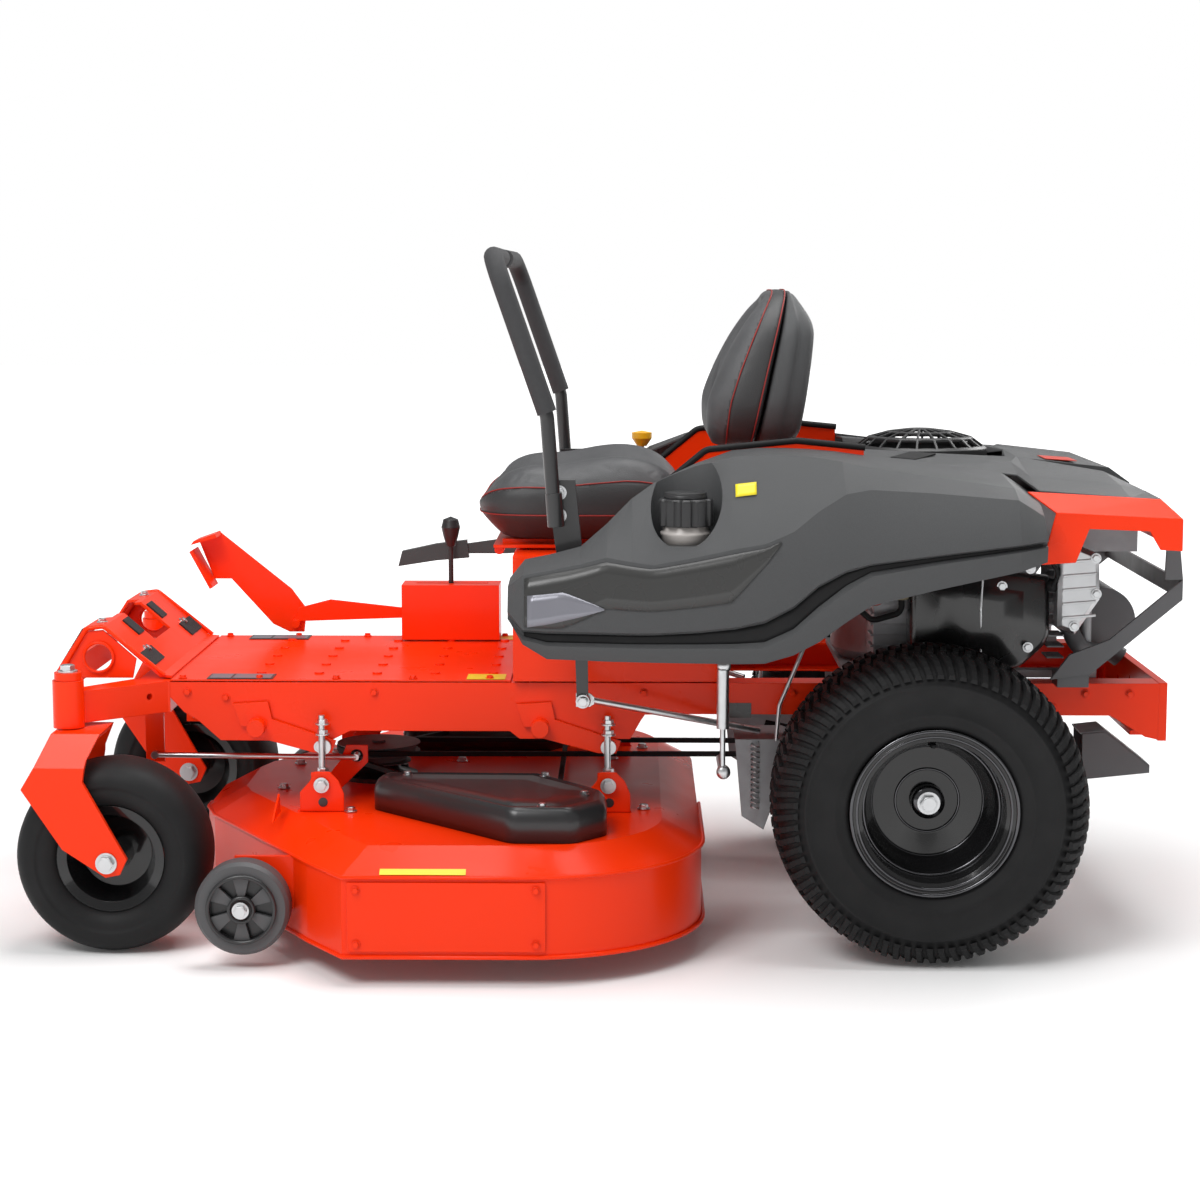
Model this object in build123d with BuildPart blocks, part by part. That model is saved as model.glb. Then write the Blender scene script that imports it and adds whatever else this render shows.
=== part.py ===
from build123d import *
import math
import os

os.makedirs("parts", exist_ok=True)

# A zero turn mower, in millimetres.  The front points along -X, the machine's left is -Y, up is +Z.
# Outlines are drawn about the machine's own centre plane (y = 0) and ground (z = 0).
FRONT, REAR = -1053, 1017            # caster tyre to rear guard
DECK_EDGE, CHUTE_TIP = 668, 900      # left edge of the deck, right tip of the chute
TO_ORIGIN = Location((-(FRONT + REAR) / 2, -(CHUTE_TIP - DECK_EDGE) / 2, 0))
SIDES = {"left": -1, "right": 1}

DRIVE_X, DRIVE_Y, DRIVE_R, DRIVE_W = 559, 445, 277, 240
CASTER_X, CASTER_Y, CASTER_R = -878, 410, 172
PIVOT_X = -957                       # caster pivot tube
RAIL_IN, RAIL_OUT, RAIL_TOP = 225, 285, 459
SHEET = 4                            # thickness of the frame's plates
DECK_LOW, DECK_BAND, DECK_TOP = 50, 190, 228
SPINDLES = {"left": (-150, -420), "centre": (-450, 0), "right": (-150, 420)}
ENGINE_X = 587
BLADE_R, PULLEY_R, BELT_Z, DRIVE_BELT_Z = 228, 62, 262, 281
SLACK = 0.05                         # radial clearance of a running fit
ARM_PIVOT = (-48, 530)               # lap bar pivot, x and z
ROD_PIN = (-46, 453)                 # where the lap bar's lower end holds the control rod
FRONT_SHAFT, REAR_SHAFT, SHAFT_Z = -641, -126, 378
HANGERS = (-522, -4)                 # the deck's four hanger rods, x
DRAG_X, DRAG_Z, DRAG_REAR = -842, 312, (-471, 307)   # the drag links' two ends


def save(piece, node):
    """Move a finished piece into the part's frame and write it."""
    piece.part.label = node
    moved = piece.part.moved(TO_ORIGIN)
    moved.label = node
    export_step(moved, f"parts/{node}.step")


def slab(points, y0, y1, mode=Mode.ADD):
    """An outline in x and z, from y0 to y1."""
    with BuildSketch(Plane.XZ.offset(-y0)) as outline:
        Polygon(*points, align=None)
    extrude(outline.sketch, amount=y0 - y1, mode=mode)


def plate(points, z0, z1, mode=Mode.ADD):
    """An outline in x and y, from z0 up to z1."""
    with BuildSketch(Plane.XY.offset(z0)) as outline:
        Polygon(*points, align=None)
    extrude(outline.sketch, amount=z1 - z0, mode=mode)


def block(low, high, mode=Mode.ADD):
    """A box between two corners."""
    size = [abs(b - a) for a, b in zip(low, high)]
    with Locations(tuple((a + b) / 2 for a, b in zip(low, high))):
        Box(*size, mode=mode)


def rod(start, end, radius, mode=Mode.ADD):
    """A round bar from start to end."""
    run = Vector(*end) - Vector(*start)
    with BuildSketch(Plane(origin=start, z_dir=run)) as outline:
        Circle(radius)
    extrude(outline.sketch, amount=run.length, mode=mode)


def turned(points, x, y, mode=Mode.ADD):
    """A profile of radius and height, revolved about an upright axis at x, y."""
    with BuildSketch(Plane.XZ.offset(-y)) as profile:
        Polygon(*[(x + r, z) for r, z in points], align=None)
    revolve(profile.sketch, Axis((x, y, 0), (0, 0, 1)), mode=mode)


def wheel_profile(points, x, y, z, side, mode=Mode.ADD):
    """A profile of distance outwards and radius, revolved about a wheel's axle."""
    with BuildSketch(Plane.YZ.offset(x)) as profile:
        Polygon(*[(y + side * out, z + r) for out, r in points], align=None)
    revolve(profile.sketch, Axis((x, y, z), (0, 1, 0)), mode=mode)


def tyre_wall(outside, inside, x, y, z):
    """A tyre's carcass, from half of its outer and inner sections."""
    whole = outside + [(-out, r) for out, r in outside[::-1]]
    hollow = [(-out, r) for out, r in inside[::-1]] + inside
    wheel_profile(whole + hollow, x, y, z, 1)


# ---------------------------------------------------------------- frame

rail_outline = [(-800, 458), (-800, 430), (-775, 403), (-750, 388), (-709, 351), (-510, 350), (-473, 369),
                (-182, 369), (-164, 355), (37, 355), (57, 390), (64, 400), (907, 400), (971, 361),
                (994, 356), (994, RAIL_TOP)]
with BuildPart() as side_rails:
    for side in SIDES.values():
        with BuildSketch(Plane.XZ.offset(-side * RAIL_OUT)) as rail_face:
            Polygon(*rail_outline, align=None)
        extrude(rail_face.sketch, amount=side * (RAIL_OUT - RAIL_IN))
        with BuildSketch(Plane.XZ.offset(-side * (RAIL_OUT - SHEET))) as rail_inside:
            Polygon(*rail_outline, align=None)
            offset(amount=-SHEET, mode=Mode.REPLACE)
        extrude(rail_inside.sketch, amount=side * (RAIL_OUT - RAIL_IN), mode=Mode.SUBTRACT)
        block((120, side * 255 - 31, 390), (420, side * 255 + 31, 401), Mode.SUBTRACT)
        for x in (FRONT_SHAFT, REAR_SHAFT):
            rod((x, side * 220, SHAFT_Z), (x, side * 290, SHAFT_Z), 16 + SLACK, Mode.SUBTRACT)
save(side_rails, "side_rails")

with BuildPart() as front_beam:
    block((-860, -RAIL_OUT, 403), (-800, RAIL_OUT, 460))
    block((-856, -RAIL_OUT + 4, 402), (-804, RAIL_OUT - 4, 456), Mode.SUBTRACT)
    for side in SIDES.values():
        arm = [(-803, side * 284), (-935, side * 402), (-975, side * 390), (-862, side * 250)]
        plate(arm, 403, 460)
        block((-860, side * 212 - 4, 298), (-826, side * 212 + 4, 404))
        rod((DRAG_X, side * 200, DRAG_Z), (DRAG_X, side * 225, DRAG_Z), 7 + SLACK, Mode.SUBTRACT)
        rod((PIVOT_X, side * CASTER_Y, 398), (PIVOT_X, side * CASTER_Y, 482), 27.5)
        rod((PIVOT_X, side * CASTER_Y, 390), (PIVOT_X, side * CASTER_Y, 490), 12.5 + SLACK, Mode.SUBTRACT)
        for x in (-826, -910):
            rod((x + 20, side * 340, 435), (x - 60, side * 250, 435), 6, Mode.SUBTRACT)
save(front_beam, "front_beam")

with BuildPart() as rear_bumper:
    block((994, -RAIL_OUT, 354), (1009, RAIL_OUT, 460))
    block((955, -RAIL_IN, 354), (994, RAIL_IN, 362))
    with Locations((975, 0, 358)):
        Hole(6.5, depth=20)
        Cylinder(6.5, 40, mode=Mode.SUBTRACT)
save(rear_bumper, "rear_bumper")

with BuildPart() as floor_pan:
    block((-799, -RAIL_OUT, 460), (-180, RAIL_OUT, 463))
    with Locations(Location((-430, 0, 463))):
        with GridLocations(107, 105, 5, 5):
            Cylinder(9, 3, align=(Align.CENTER, Align.CENTER, Align.MIN))
save(floor_pan, "floor_pan")

foot_profile = [(-1012, 425), (-1009, 474), (-958, 552), (-923, 555), (-821, 466), (-800, 464)]
with BuildPart() as foot_plate:
    with BuildSketch(Plane.XZ.offset(-262)) as foot_side:
        with BuildLine():
            Polyline(*foot_profile)
        trace(line_width=5)
    extrude(foot_side.sketch, amount=524)
    block((-1020, -130, 478), (-935, 130, 560), Mode.SUBTRACT)
    block((-975, -80, 500), (-865, 80, 560), Mode.SUBTRACT)
    for side in SIDES.values():
        slab([(-1005, 470), (-955, 547), (-925, 550), (-865, 497), (-872, 462), (-985, 462)],
             side * 256, side * 261)
        rod((-935, side * 250, 500), (-935, side * 270, 500), 26, Mode.SUBTRACT)
save(foot_plate, "foot_plate")

with BuildPart() as seat_box:
    block((-175, -300, 463), (215, 300, 690))
    block((-171, -296, 440), (211, 296, 686), Mode.SUBTRACT)
    block((-160, -190, 560), (160, 190, 692), Mode.SUBTRACT)
save(seat_box, "seat_box")

# ---------------------------------------------------------------- body panels

lip = [(-132, 562), (70, 542), (256, 539), (322, 566), (405, 651), (489, 676), (589, 693), (738, 719)]
edge = [(-178, 640), (60, 612), (250, 632), (322, 668), (395, 742), (489, 762), (600, 782), (728, 800)]
ridge = [(-165, 665), (3, 750), (75, 835), (136, 866), (259, 887), (464, 872), (670, 841), (742, 802)]
WALL = 6


def fender_solid(side, drop, inset, outside, inside, mode=Mode.ADD):
    """The fender's outer shape, or with drop and inset the hollow inside it."""
    def shifted(chain, down):
        ends = [inset] + [0] * (len(chain) - 2) + [-inset]
        return [(x + end, z - down) for (x, z), end in zip(chain, ends)]
    low = shifted(lip, 5 * drop)[::-1]
    with BuildSketch(Plane.XZ.offset(-side * 480)) as middle:
        Polygon(*shifted(ridge, drop), *low, align=None)
    with BuildSketch(Plane.XZ.offset(-side * outside)) as outer:
        Polygon(*shifted(edge, drop), *low, align=None)
    loft([middle.sketch, outer.sketch], ruled=True, mode=mode)
    extrude(middle.sketch, amount=side * (480 - inside), mode=mode)


for name, side in SIDES.items():
    with BuildPart() as fender:
        fender_solid(side, 0, 0, 600, 430)
        fender_solid(side, WALL, WALL, 600 - WALL, 420, Mode.SUBTRACT)
        top = [(150, 868), (259, 886), (464, 871), (670, 840), (735, 803)]
        slab(top + [(x, z - WALL) for x, z in top[::-1]], side * 431, side * 320)
        slab([(200, 690), (200, 875), (259, 886), (464, 871), (560, 855), (560, 690)], side * 326, side * 320)
        if name == "left":
            rod((131, side * 520, 735), (131, side * 520, 900), 62, Mode.SUBTRACT)
            rod((131, side * 520, 729), (131, side * 520, 735), 64)
            rod((131, side * 520, 700), (131, side * 520, 768), 40)
            rod((131, side * 520, 700), (131, side * 520, 780), 30, Mode.SUBTRACT)
        else:
            rod((60, side * 455, 760), (60, side * 455, 870), 5 + SLACK, Mode.SUBTRACT)
    save(fender, f"{name}_fender")

brace_outline = [(750, 822), (752, 700), (770, 700), (793, 706), (817, 757), (894, 766), (930, 723),
                 (985, 732), (985, 790), (961, 822)]
with BuildPart() as rear_brace:
    for side in SIDES.values():
        slab(brace_outline, side * 484, side * 480)
        block((752, side * 480, 818), (961, side * 400, 822))
    slab([(961, 740), (985, 732), (985, 790), (961, 822)], -480, 480)
    slab([(955, 730), (981, 730), (981, 788), (961, 816), (955, 816)], -470, 470, Mode.SUBTRACT)
save(rear_brace, "rear_brace")

with BuildPart() as guard_straps:
    for side in SIDES.values():
        slab([(786, 476), (856, 485), (1017, 620), (1017, 656), (890, 548), (820, 521)],
             side * 350, side * 342)
        slab([(985, 656), (1017, 656), (1008, 738), (988, 738)], side * 350, side * 342)
        slab([(800, 485), (856, 485), (856, 461), (800, 461)], side * 341.9, side * 286)
    slab([(1011, 622), (1017, 622), (1017, 655), (1011, 655)], -341.9, 341.9)
    slab([(880, 262), (884, 255), (1009, 268), (1009, 283), (924, 350), (878, 345), (880, 340), (921, 343),
          (1001, 279)], -150, -60)
save(guard_straps, "guard_straps")

# ---------------------------------------------------------------- engine

with BuildPart() as engine_block:
    turned([(0, 470), (150, 470), (165, 490), (165, 690), (130, 705), (0, 705)], ENGINE_X, 0)
    block((430, -226, 459.5), (760, 226, 469.5))
    turned([(0, 704), (128, 704), (128, 790), (120, 838), (0, 838)], ENGINE_X, 0)
    for side in SIDES.values():
        block((ENGINE_X - 110, side * 200 - 75, 500), (ENGINE_X + 110, side * 200 + 75, 676))
        rod((870, side * 215, 475), (870, side * 215, 650), 12)
        block((740, side * 215 - 16, 461), (890, side * 215 + 16, 475))
    block((735, -200, 690), (965, 200, 800))
    block((745, -190, 689), (955, 190, 790), Mode.SUBTRACT)
    turned([(0, 480), (125, 480), (125, 684), (0, 684)], ENGINE_X, 0, Mode.SUBTRACT)
    turned([(0, 716), (122, 716), (116, 828), (0, 828)], ENGINE_X, 0, Mode.SUBTRACT)
    turned([(0, 450), (14 + SLACK, 450), (14 + SLACK, 845), (0, 845)], ENGINE_X, 0, Mode.SUBTRACT)
save(engine_block, "engine_block")

with BuildPart() as cylinder_shrouds:
    for side in SIDES.values():
        with BuildSketch(Plane.XZ.offset(-side * 280)) as shroud_face:
            with Locations((662, 588)):
                RectangleRounded(260, 190, 34)
        extrude(shroud_face.sketch, amount=side * -38, taper=8)
        with BuildSketch(Plane.XZ.offset(-side * 322)) as plug_hole:
            with Locations((800, 600)):
                RectangleRounded(40, 60, 8)
        extrude(plug_hole.sketch, amount=side * 30, mode=Mode.SUBTRACT)
save(cylinder_shrouds, "cylinder_shrouds")

with BuildPart() as rocker_covers:
    for side in SIDES.values():
        outline = [(828, 716), (873, 698), (875, 617), (832, 554), (800, 566), (800, 690)]
        slab(outline, side * 280, side * 330)
        edges_here = rocker_covers.edges().filter_by(Plane.XZ).group_by(Axis.Y)[0 if side < 0 else -1]
        chamfer(edges_here, 8)
save(rocker_covers, "rocker_covers")

GUARD_R, RIBS = 126.5, 20
DOME = [(0, 904), (24, 904), (62, 899), (98, 889), (GUARD_R, 868)]
with BuildPart() as screen_guard:
    turned(DOME + [(GUARD_R, 839), (GUARD_R - 4, 839), (GUARD_R - 4, 866)]
           + [(r - 2 * (r > 0), z - 4) for r, z in DOME[3::-1]],
           ENGINE_X, 0)
    for inner, outer in ((28, 58), (66, 92), (100, 119)):
        with BuildSketch(Plane((ENGINE_X, 0, 850))) as slots:
            with PolarLocations(0, RIBS):
                Polygon((inner, 2 - inner * 0.157), (outer, 2 - outer * 0.157), (outer, outer * 0.157 - 2),
                        (inner, inner * 0.157 - 2), align=None)
        extrude(slots.sketch, amount=60, mode=Mode.SUBTRACT)
save(screen_guard, "screen_guard")

with BuildPart() as air_filter_cover:
    slab([(735, 801), (735, 845), (770, 858), (915, 842), (953, 815), (953, 801)], -170, 250)
    fillet(air_filter_cover.edges().filter_by(Axis.Y).group_by(Axis.Z)[-1], 8)
    slab([(660, 801), (735, 801), (735, 835), (690, 845)], 130, 250)
save(air_filter_cover, "air_filter_cover")

with BuildPart() as muffler:
    rod((905, -190, 560), (905, 190, 560), 62)
    rod((930, 60, 500), (990, 60, 455), 20)
    rod((930, 60, 500), (990.5, 60, 454.6), 17, Mode.SUBTRACT)
save(muffler, "muffler")

with BuildPart() as transaxles:
    for side in SIDES.values():
        block((470, side * 210 - 60, 215), (640, side * 210 + 60, 340))
        rod((DRIVE_X, side * 180, 276), (DRIVE_X, side * 318, 276), 45)
        rod((520, side * 200, 335), (520, side * 200, 380), 40)
        slab([(430, 340), (640, 340), (640, 399.5), (430, 399.5)], side * 232, side * 226)
        slab([(227, 357), (319, 357), (319, 300), (280, 190), (240, 215)], side * 296, side * 290)
        slab([(227, 357), (319, 357), (470, 300), (470, 280), (280, 320)], side * 290, side * 150)
        rod((DRIVE_X, side * 140, 276), (DRIVE_X, side * 330, 276), 15 + SLACK, Mode.SUBTRACT)
save(transaxles, "transaxles")

with BuildPart() as quadrant_box:
    block((-422, 200, 466.5), (-226, 280, 577))
    block((-418, 204, 463), (-230, 276, 574), Mode.SUBTRACT)
    block((-395, 232, 560), (-250, 246, 580), Mode.SUBTRACT)
save(quadrant_box, "quadrant_box")

with BuildPart() as damper_struts:
    for side in SIDES.values():
        rod((200, side * 424, 318), (200, side * 424, 517), 5)
        rod((200, side * 424, 400), (200, side * 424, 505), 11)
        rod((200, side * 427, 511), (200, side * 300.2, 511), 7)
        rod((200, side * 427, 322), (200, side * 296.2, 322), 7)
save(damper_struts, "damper_struts")

# ---------------------------------------------------------------- deck

ARC_CENTRE, ARC_R = (-139, -364), 304


def deck_outline(grow=0.0):
    """Half of the deck's plan on the left side, grown outwards."""
    edge_y = -DECK_EDGE - grow
    with BuildLine() as half_line:
        front = Polyline((-765 - grow, 0), (-765 - grow, -100), (-742 - grow, -174), (-520 - grow, -560),
                         (-448 - grow / 2, edge_y), (ARC_CENTRE[0], edge_y))
        bend = TangentArc(front @ 1, (ARC_CENTRE[0] + ARC_R + grow, ARC_CENTRE[1]), tangent=(1, 0))
        Polyline(bend @ 1, (ARC_CENTRE[0] + ARC_R + grow, 0), front @ 0)
    make_face(half_line.edges())


def deck_layer(low, high, grow, taper, mode=Mode.ADD):
    """One layer of the deck, both halves."""
    with BuildSketch(Plane.XY.offset(low)) as half:
        deck_outline(grow)
        mirror(about=Plane.XZ)
    extrude(half.sketch, amount=high - low, taper=taper, mode=mode)


SHOULDER = 62
with BuildPart() as deck_shell:
    deck_layer(DECK_LOW, DECK_BAND, 0, 0)
    deck_layer(DECK_BAND, DECK_TOP, 0, SHOULDER)
    deck_layer(DECK_LOW - 1, DECK_BAND - SHEET, -SHEET, 0, Mode.SUBTRACT)
    deck_layer(DECK_BAND - SHEET, DECK_TOP - SHEET, -SHEET, SHOULDER, Mode.SUBTRACT)
    block((-440, 560, 49), (-150, 680, 172), Mode.SUBTRACT)
    for x, y in SPINDLES.values():
        rod((x, y, 200), (x, y, 240), 45, Mode.SUBTRACT)
    for side in SIDES.values():
        for x, lean in ((HANGERS[0], 1), (HANGERS[1], -1)):
            ear = [(x - 18, 227), (x + 18, 227), (x + 18, 300), (x - 18, 300)]
            foot = [(x - lean * 45, 227), (x + lean * 45, 227), (x + lean * 18, 262), (x - lean * 18, 262)]
            slab(ear, side * 322, side * 327)
            slab(foot, side * 322, side * 327)
            rod((x, side * 320, 278), (x, side * 330, 278), 7.0 + SLACK, Mode.SUBTRACT)
        slab([(-560, 226), (-520, 226), (-450, 295), (-450, 327), (-490, 327), (-500, 300)],
             side * 196, side * 202)
        rod((DRAG_REAR[0], side * 190, DRAG_REAR[1]), (DRAG_REAR[0], side * 210, DRAG_REAR[1]), 12,
            Mode.SUBTRACT)
        block((-652, side * 505 - 4, 95), (-530, side * 505 + 4, 188))
        rod((-632, side * 505, 108), (-632, side * 572, 108), 8)
        rod((-632, side * 572, 108), (-632, side * 578, 108), 13)
    rod((-488, 682, 190), (-106, 682, 190), 5)
    for x in (-480, -297, -114):
        block((x - 6, 655, 184), (x + 6, 682, 192))
save(deck_shell, "deck_shell")

with BuildPart() as hanger_rods:
    for side in SIDES.values():
        for x in HANGERS:
            rod((x, side * 309, 270), (x, side * 309, 402), 6)
            rod((x, side * 320, 278), (x, side * 334, 278), 7)
            rod((x, side * 303, 278), (x, side * 320, 278), 11)
save(hanger_rods, "hanger_rods")

with BuildPart() as spindle_housings:
    for x, y in SPINDLES.values():
        turned([(13 + SLACK, 190), (44, 190), (44, 228), (75, 228), (75, 236), (45, 244), (34, 256),
                (13 + SLACK, 256)], x, y)
        for angle in range(45, 360, 90):
            turn = math.radians(angle)
            with Locations((x + 64 * math.cos(turn), y + 64 * math.sin(turn), 237)):
                Cylinder(8, 14)
save(spindle_housings, "spindle_housings")

cover_outline = [(-430, -255), (-140, -250), (-30, -390), (-5, -430), (-5, -520), (-60, -585), (-170, -585),
                 (-230, -520), (-430, -310)]
with BuildPart() as spindle_covers:
    for side in SIDES.values():
        plate([(x, -side * y) for x, y in cover_outline], DECK_TOP, 290)
        plate([(x * 0.966 - 8, -side * (y * 0.984 - 6)) for x, y in cover_outline], DECK_TOP - 1, 286,
              Mode.SUBTRACT)
        block((-440, side * 280 - 60, 256), (-20, side * 280 + 60, 286), Mode.SUBTRACT)
save(spindle_covers, "spindle_covers")


def belt_loop(circles, z, thick):
    """A belt that hugs a ring of pulleys."""
    with BuildSketch(Plane.XY.offset(z + 1.5)) as loop:
        for x, y, r in circles:
            with Locations((x, y)):
                Circle(r + thick)
        make_hull()
    with BuildSketch(Plane.XY.offset(z + 1.5)) as hole:
        for x, y, r in circles:
            with Locations((x, y)):
                Circle(r)
        make_hull()
    extrude(loop.sketch, amount=9)
    extrude(hole.sketch, amount=9, mode=Mode.SUBTRACT)


with BuildPart() as deck_belt:
    belt_loop([(x, y, PULLEY_R - 8) for x, y in SPINDLES.values()], BELT_Z, 9)
    belt_loop([(-450, 0, 72), (ENGINE_X, 0, 62)], DRIVE_BELT_Z, 9)
save(deck_belt, "deck_belt")


def pulley(x, y, radius, z, mode=Mode.ADD):
    """A grooved pulley, its groove 8 deep."""
    turned([(0, z - 3), (radius, z - 3), (radius, z - 1), (radius - 8.5, z + 1), (radius - 8.5, z + 11),
            (radius, z + 13), (radius, z + 15), (0, z + 15)], x, y, mode)


for name, (x, y) in SPINDLES.items():
    with BuildPart() as blade:
        rod((x, y, 62), (x, y, 300 if name == "centre" else 283), 13)
        pulley(x, y, PULLEY_R, BELT_Z)
        if name == "centre":
            pulley(x, y, 80, DRIVE_BELT_Z)
        end = BLADE_R - 4
        plate([(x - 30, y - end), (x + 30, y - end), (x + 30, y + end), (x - 30, y + end)], 74, 80)
        for end in (-1, 1):
            with BuildSketch(Plane.XZ.offset(-(y + end * (BLADE_R - 5)))) as lift:
                Polygon((x + end * 30, 74), (x + end * 10, 74), (x + end * 10, 80), (x + end * 24, 80),
                        (x + end * 34, 108), (x + end * 40, 106), align=None)
            extrude(lift.sketch, amount=end * 90)
        rod((x, y, 58), (x, y, 74), 19)
        rod((x, y, 80), (x, y, 189.5), 22)
    save(blade, f"blade_{name}")

for name, side in SIDES.items():
    with BuildPart() as scalp_wheel:
        wheel_profile([(-25, 20), (-25, 76), (-17, 82), (17, 82), (25, 76), (25, 60), (10, 56), (10, 20)],
                      -632, side * 545, 108, side)
        wheel_profile([(-25, 8 + SLACK), (-25, 22), (24, 22), (24, 8 + SLACK)], -632, side * 545, 108, side)
    save(scalp_wheel, f"scalp_wheel_{name}")

with BuildPart() as discharge_chute:
    for x in (-440, -160):
        rod((x - 15, 682, 190), (x + 15, 682, 190), 10)
    with BuildSketch(Plane.YZ.offset(-470)) as chute_side:
        Polygon((686, 186), (690, 197), (CHUTE_TIP, 118), (CHUTE_TIP, 112), align=None)
    extrude(chute_side.sketch, amount=350)
    for x in (-470, -124):
        with BuildSketch(Plane.YZ.offset(x)) as cheek:
            Polygon((690, 150), (690, 194), (CHUTE_TIP, 114), (CHUTE_TIP, 78), (860, 70), align=None)
        extrude(cheek.sketch, amount=4)
    rod((-500, 682, 190), (-100, 682, 190), 5 + SLACK, Mode.SUBTRACT)
save(discharge_chute, "discharge_chute")

# ---------------------------------------------------------------- wheels

fork_outline = [(-1025, 302), (-1001, 342), (-976, 396), (-890, 396), (-911, 352), (-917, 315),
                (-862, 214), (-842, 178), (-855, 151), (-880, 146), (-955, 196)]
for name, side in SIDES.items():
    y = side * CASTER_Y
    with BuildPart() as fork:
        slab(fork_outline, y - 90, y + 90)
        with BuildSketch(Plane.YZ.offset(-1060)) as fork_section:
            Polygon((y - 90, 100), (y - 90, 340), (y - 60, 396), (y + 60, 396), (y + 90, 340), (y + 90, 100),
                    align=None)
        extrude(fork_section.sketch, amount=300, mode=Mode.INTERSECT)
        with BuildSketch(Plane.YZ.offset(-1060)) as fork_gap:
            Polygon((y - 80, 99), (y - 80, 338), (y - 54, 386), (y + 54, 386), (y + 80, 338), (y + 80, 99),
                    align=None)
        extrude(fork_gap.sketch, amount=300, mode=Mode.SUBTRACT)
        rod((PIVOT_X, y, 390), (PIVOT_X, y, 492), 12.5)
        rod((PIVOT_X, y, 482.4), (PIVOT_X, y, 496), 24)
        rod((CASTER_X, y - 89, 172), (CASTER_X, y + 89, 172), 9)
    save(fork, f"caster_fork_{name}")
    with BuildPart() as caster_rim:
        wheel_profile([(-60, 9 + SLACK), (-60, 26), (-12, 30), (-12, 62), (-52, 78), (-56, 95), (-44, 92),
                       (-40, 84), (40, 84), (44, 92), (56, 95), (52, 78), (-4, 62), (-4, 30), (60, 26),
                       (60, 9 + SLACK)],
                      CASTER_X, y, 172, side)
    save(caster_rim, f"caster_rim_{name}")
    with BuildPart() as caster_tyre:
        tyre_wall([(57, 96), (73, 118), (73, 138), (64, 156), (45, 168), (20, CASTER_R)],
                  [(20, 160), (40, 157), (54, 149), (62, 135), (62, 120), (47, 97)], CASTER_X, y, 172)
    save(caster_tyre, f"caster_tyre_{name}")
    y = side * DRIVE_Y
    with BuildPart() as drive_rim:
        wheel_profile([(-112, 130), (-112, 146), (-104, 146), (-102, 131), (98, 131), (104, 146), (112, 146),
                       (112, 138), (104, 124), (60, 120), (44, 112), (20, 104), (-2, 96), (-6, 60), (-6, 12),
                       (-14, 12), (-14, 100), (4, 112), (30, 122), (40, 127), (-100, 126)],
                      DRIVE_X, y, 276, side)
        rod((DRIVE_X, y + side * 8, 276), (DRIVE_X, side * 175, 276), 15)
        rod((DRIVE_X, y - side * 14, 276), (DRIVE_X, side * 340, 276), 50)
        rod((DRIVE_X, y - side * 8, 276), (DRIVE_X, y + side * 10, 276), 24)
    save(drive_rim, f"drive_rim_{name}")
    with BuildPart() as drive_tyre:
        half = DRIVE_W / 2
        tyre_wall([(112, 147), (half - 2, 165), (half, 200), (half - 4, 240), (half - 22, 262), (60, 273),
                   (14, DRIVE_R - 1)],
                  [(14, 262), (60, 259), (half - 30, 249), (half - 18, 232), (half - 14, 200),
                   (half - 16, 168), (97, 147)], DRIVE_X, y, 276)
    save(drive_tyre, f"drive_tyre_{name}")

# ---------------------------------------------------------------- deck lift

for name, x, pin_x in (("front", FRONT_SHAFT, HANGERS[0]), ("rear", REAR_SHAFT, HANGERS[1])):
    with BuildPart() as rockshaft:
        rod((x, -318, SHAFT_Z), (x, 318, SHAFT_Z), 16)
        for side in SIDES.values():
            slab([(x - 18, 392), (x + 14, 396), (pin_x + 24, 352), (pin_x + 16, 330), (pin_x - 16, 330),
                  (x - 14, 362)],
                 side * 288, side * 294)
            rod((pin_x, side * 288, 342), (pin_x, side * 299, 342), 11)
            slab([(x - 30, 378), (x - 44, 420), (x + 20, 424), (x + 30, 378)], side * 294, side * 288)
    save(rockshaft, f"{name}_rockshaft")

with BuildPart() as drag_links:
    for side in SIDES.values():
        rod((DRAG_X, side * 204, DRAG_Z), (DRAG_X, side * 228, DRAG_Z), 7)
        rod((DRAG_X, side * 223, DRAG_Z), (DRAG_REAR[0], side * 216, DRAG_REAR[1]), 5)
        rod((DRAG_REAR[0], side * 219, DRAG_REAR[1]), (DRAG_REAR[0], side * 192, DRAG_REAR[1]), 6)
save(drag_links, "drag_links")

pedal_outline = [(-843, 660), (-800, 675), (-655, 558), (-625, 517), (-630, 470), (-660, 470), (-693, 486),
                 (-777, 579), (-812, 579)]
with BuildPart() as lift_pedal:
    slab(pedal_outline, 290, 298)
    rod((-646, 272, 488), (-646, 306, 488), 9)
    slab([(-849, 654), (-843, 662), (-800, 677), (-796, 669)], 230, 300)
    slab([(-852, 640), (-812, 565), (-806, 568), (-846, 644)], 230, 300)
    slab([(-650, 492), (-423, 500), (-423, 520), (-575, 537), (-640, 520)], 284, 290)
save(lift_pedal, "lift_pedal")

with BuildPart() as height_lever:
    rod((-325, 239, 520), (-325, 239, 660), 5)
    turned([(0, 652), (9, 652), (15, 672), (19, 690), (15, 706), (0, 712)], -325, 239)
    rod((-325, 220, 520), (-325, 258, 520), 8)
save(height_lever, "height_lever")

with BuildPart() as brake_lever:
    slab([(-300, 630), (-300, 650), (-215, 662), (-120, 660), (-95, 650), (-100, 640), (-215, 630)], 303, 309)
    slab([(-437, 604), (-429, 635), (-360, 650), (-296, 658), (-292, 622), (-360, 616)], 297, 315)
    rod((-120, 300.3, 650), (-120, 312, 650), 12)
save(brake_lever, "brake_lever")

# ---------------------------------------------------------------- steering controls

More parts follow.
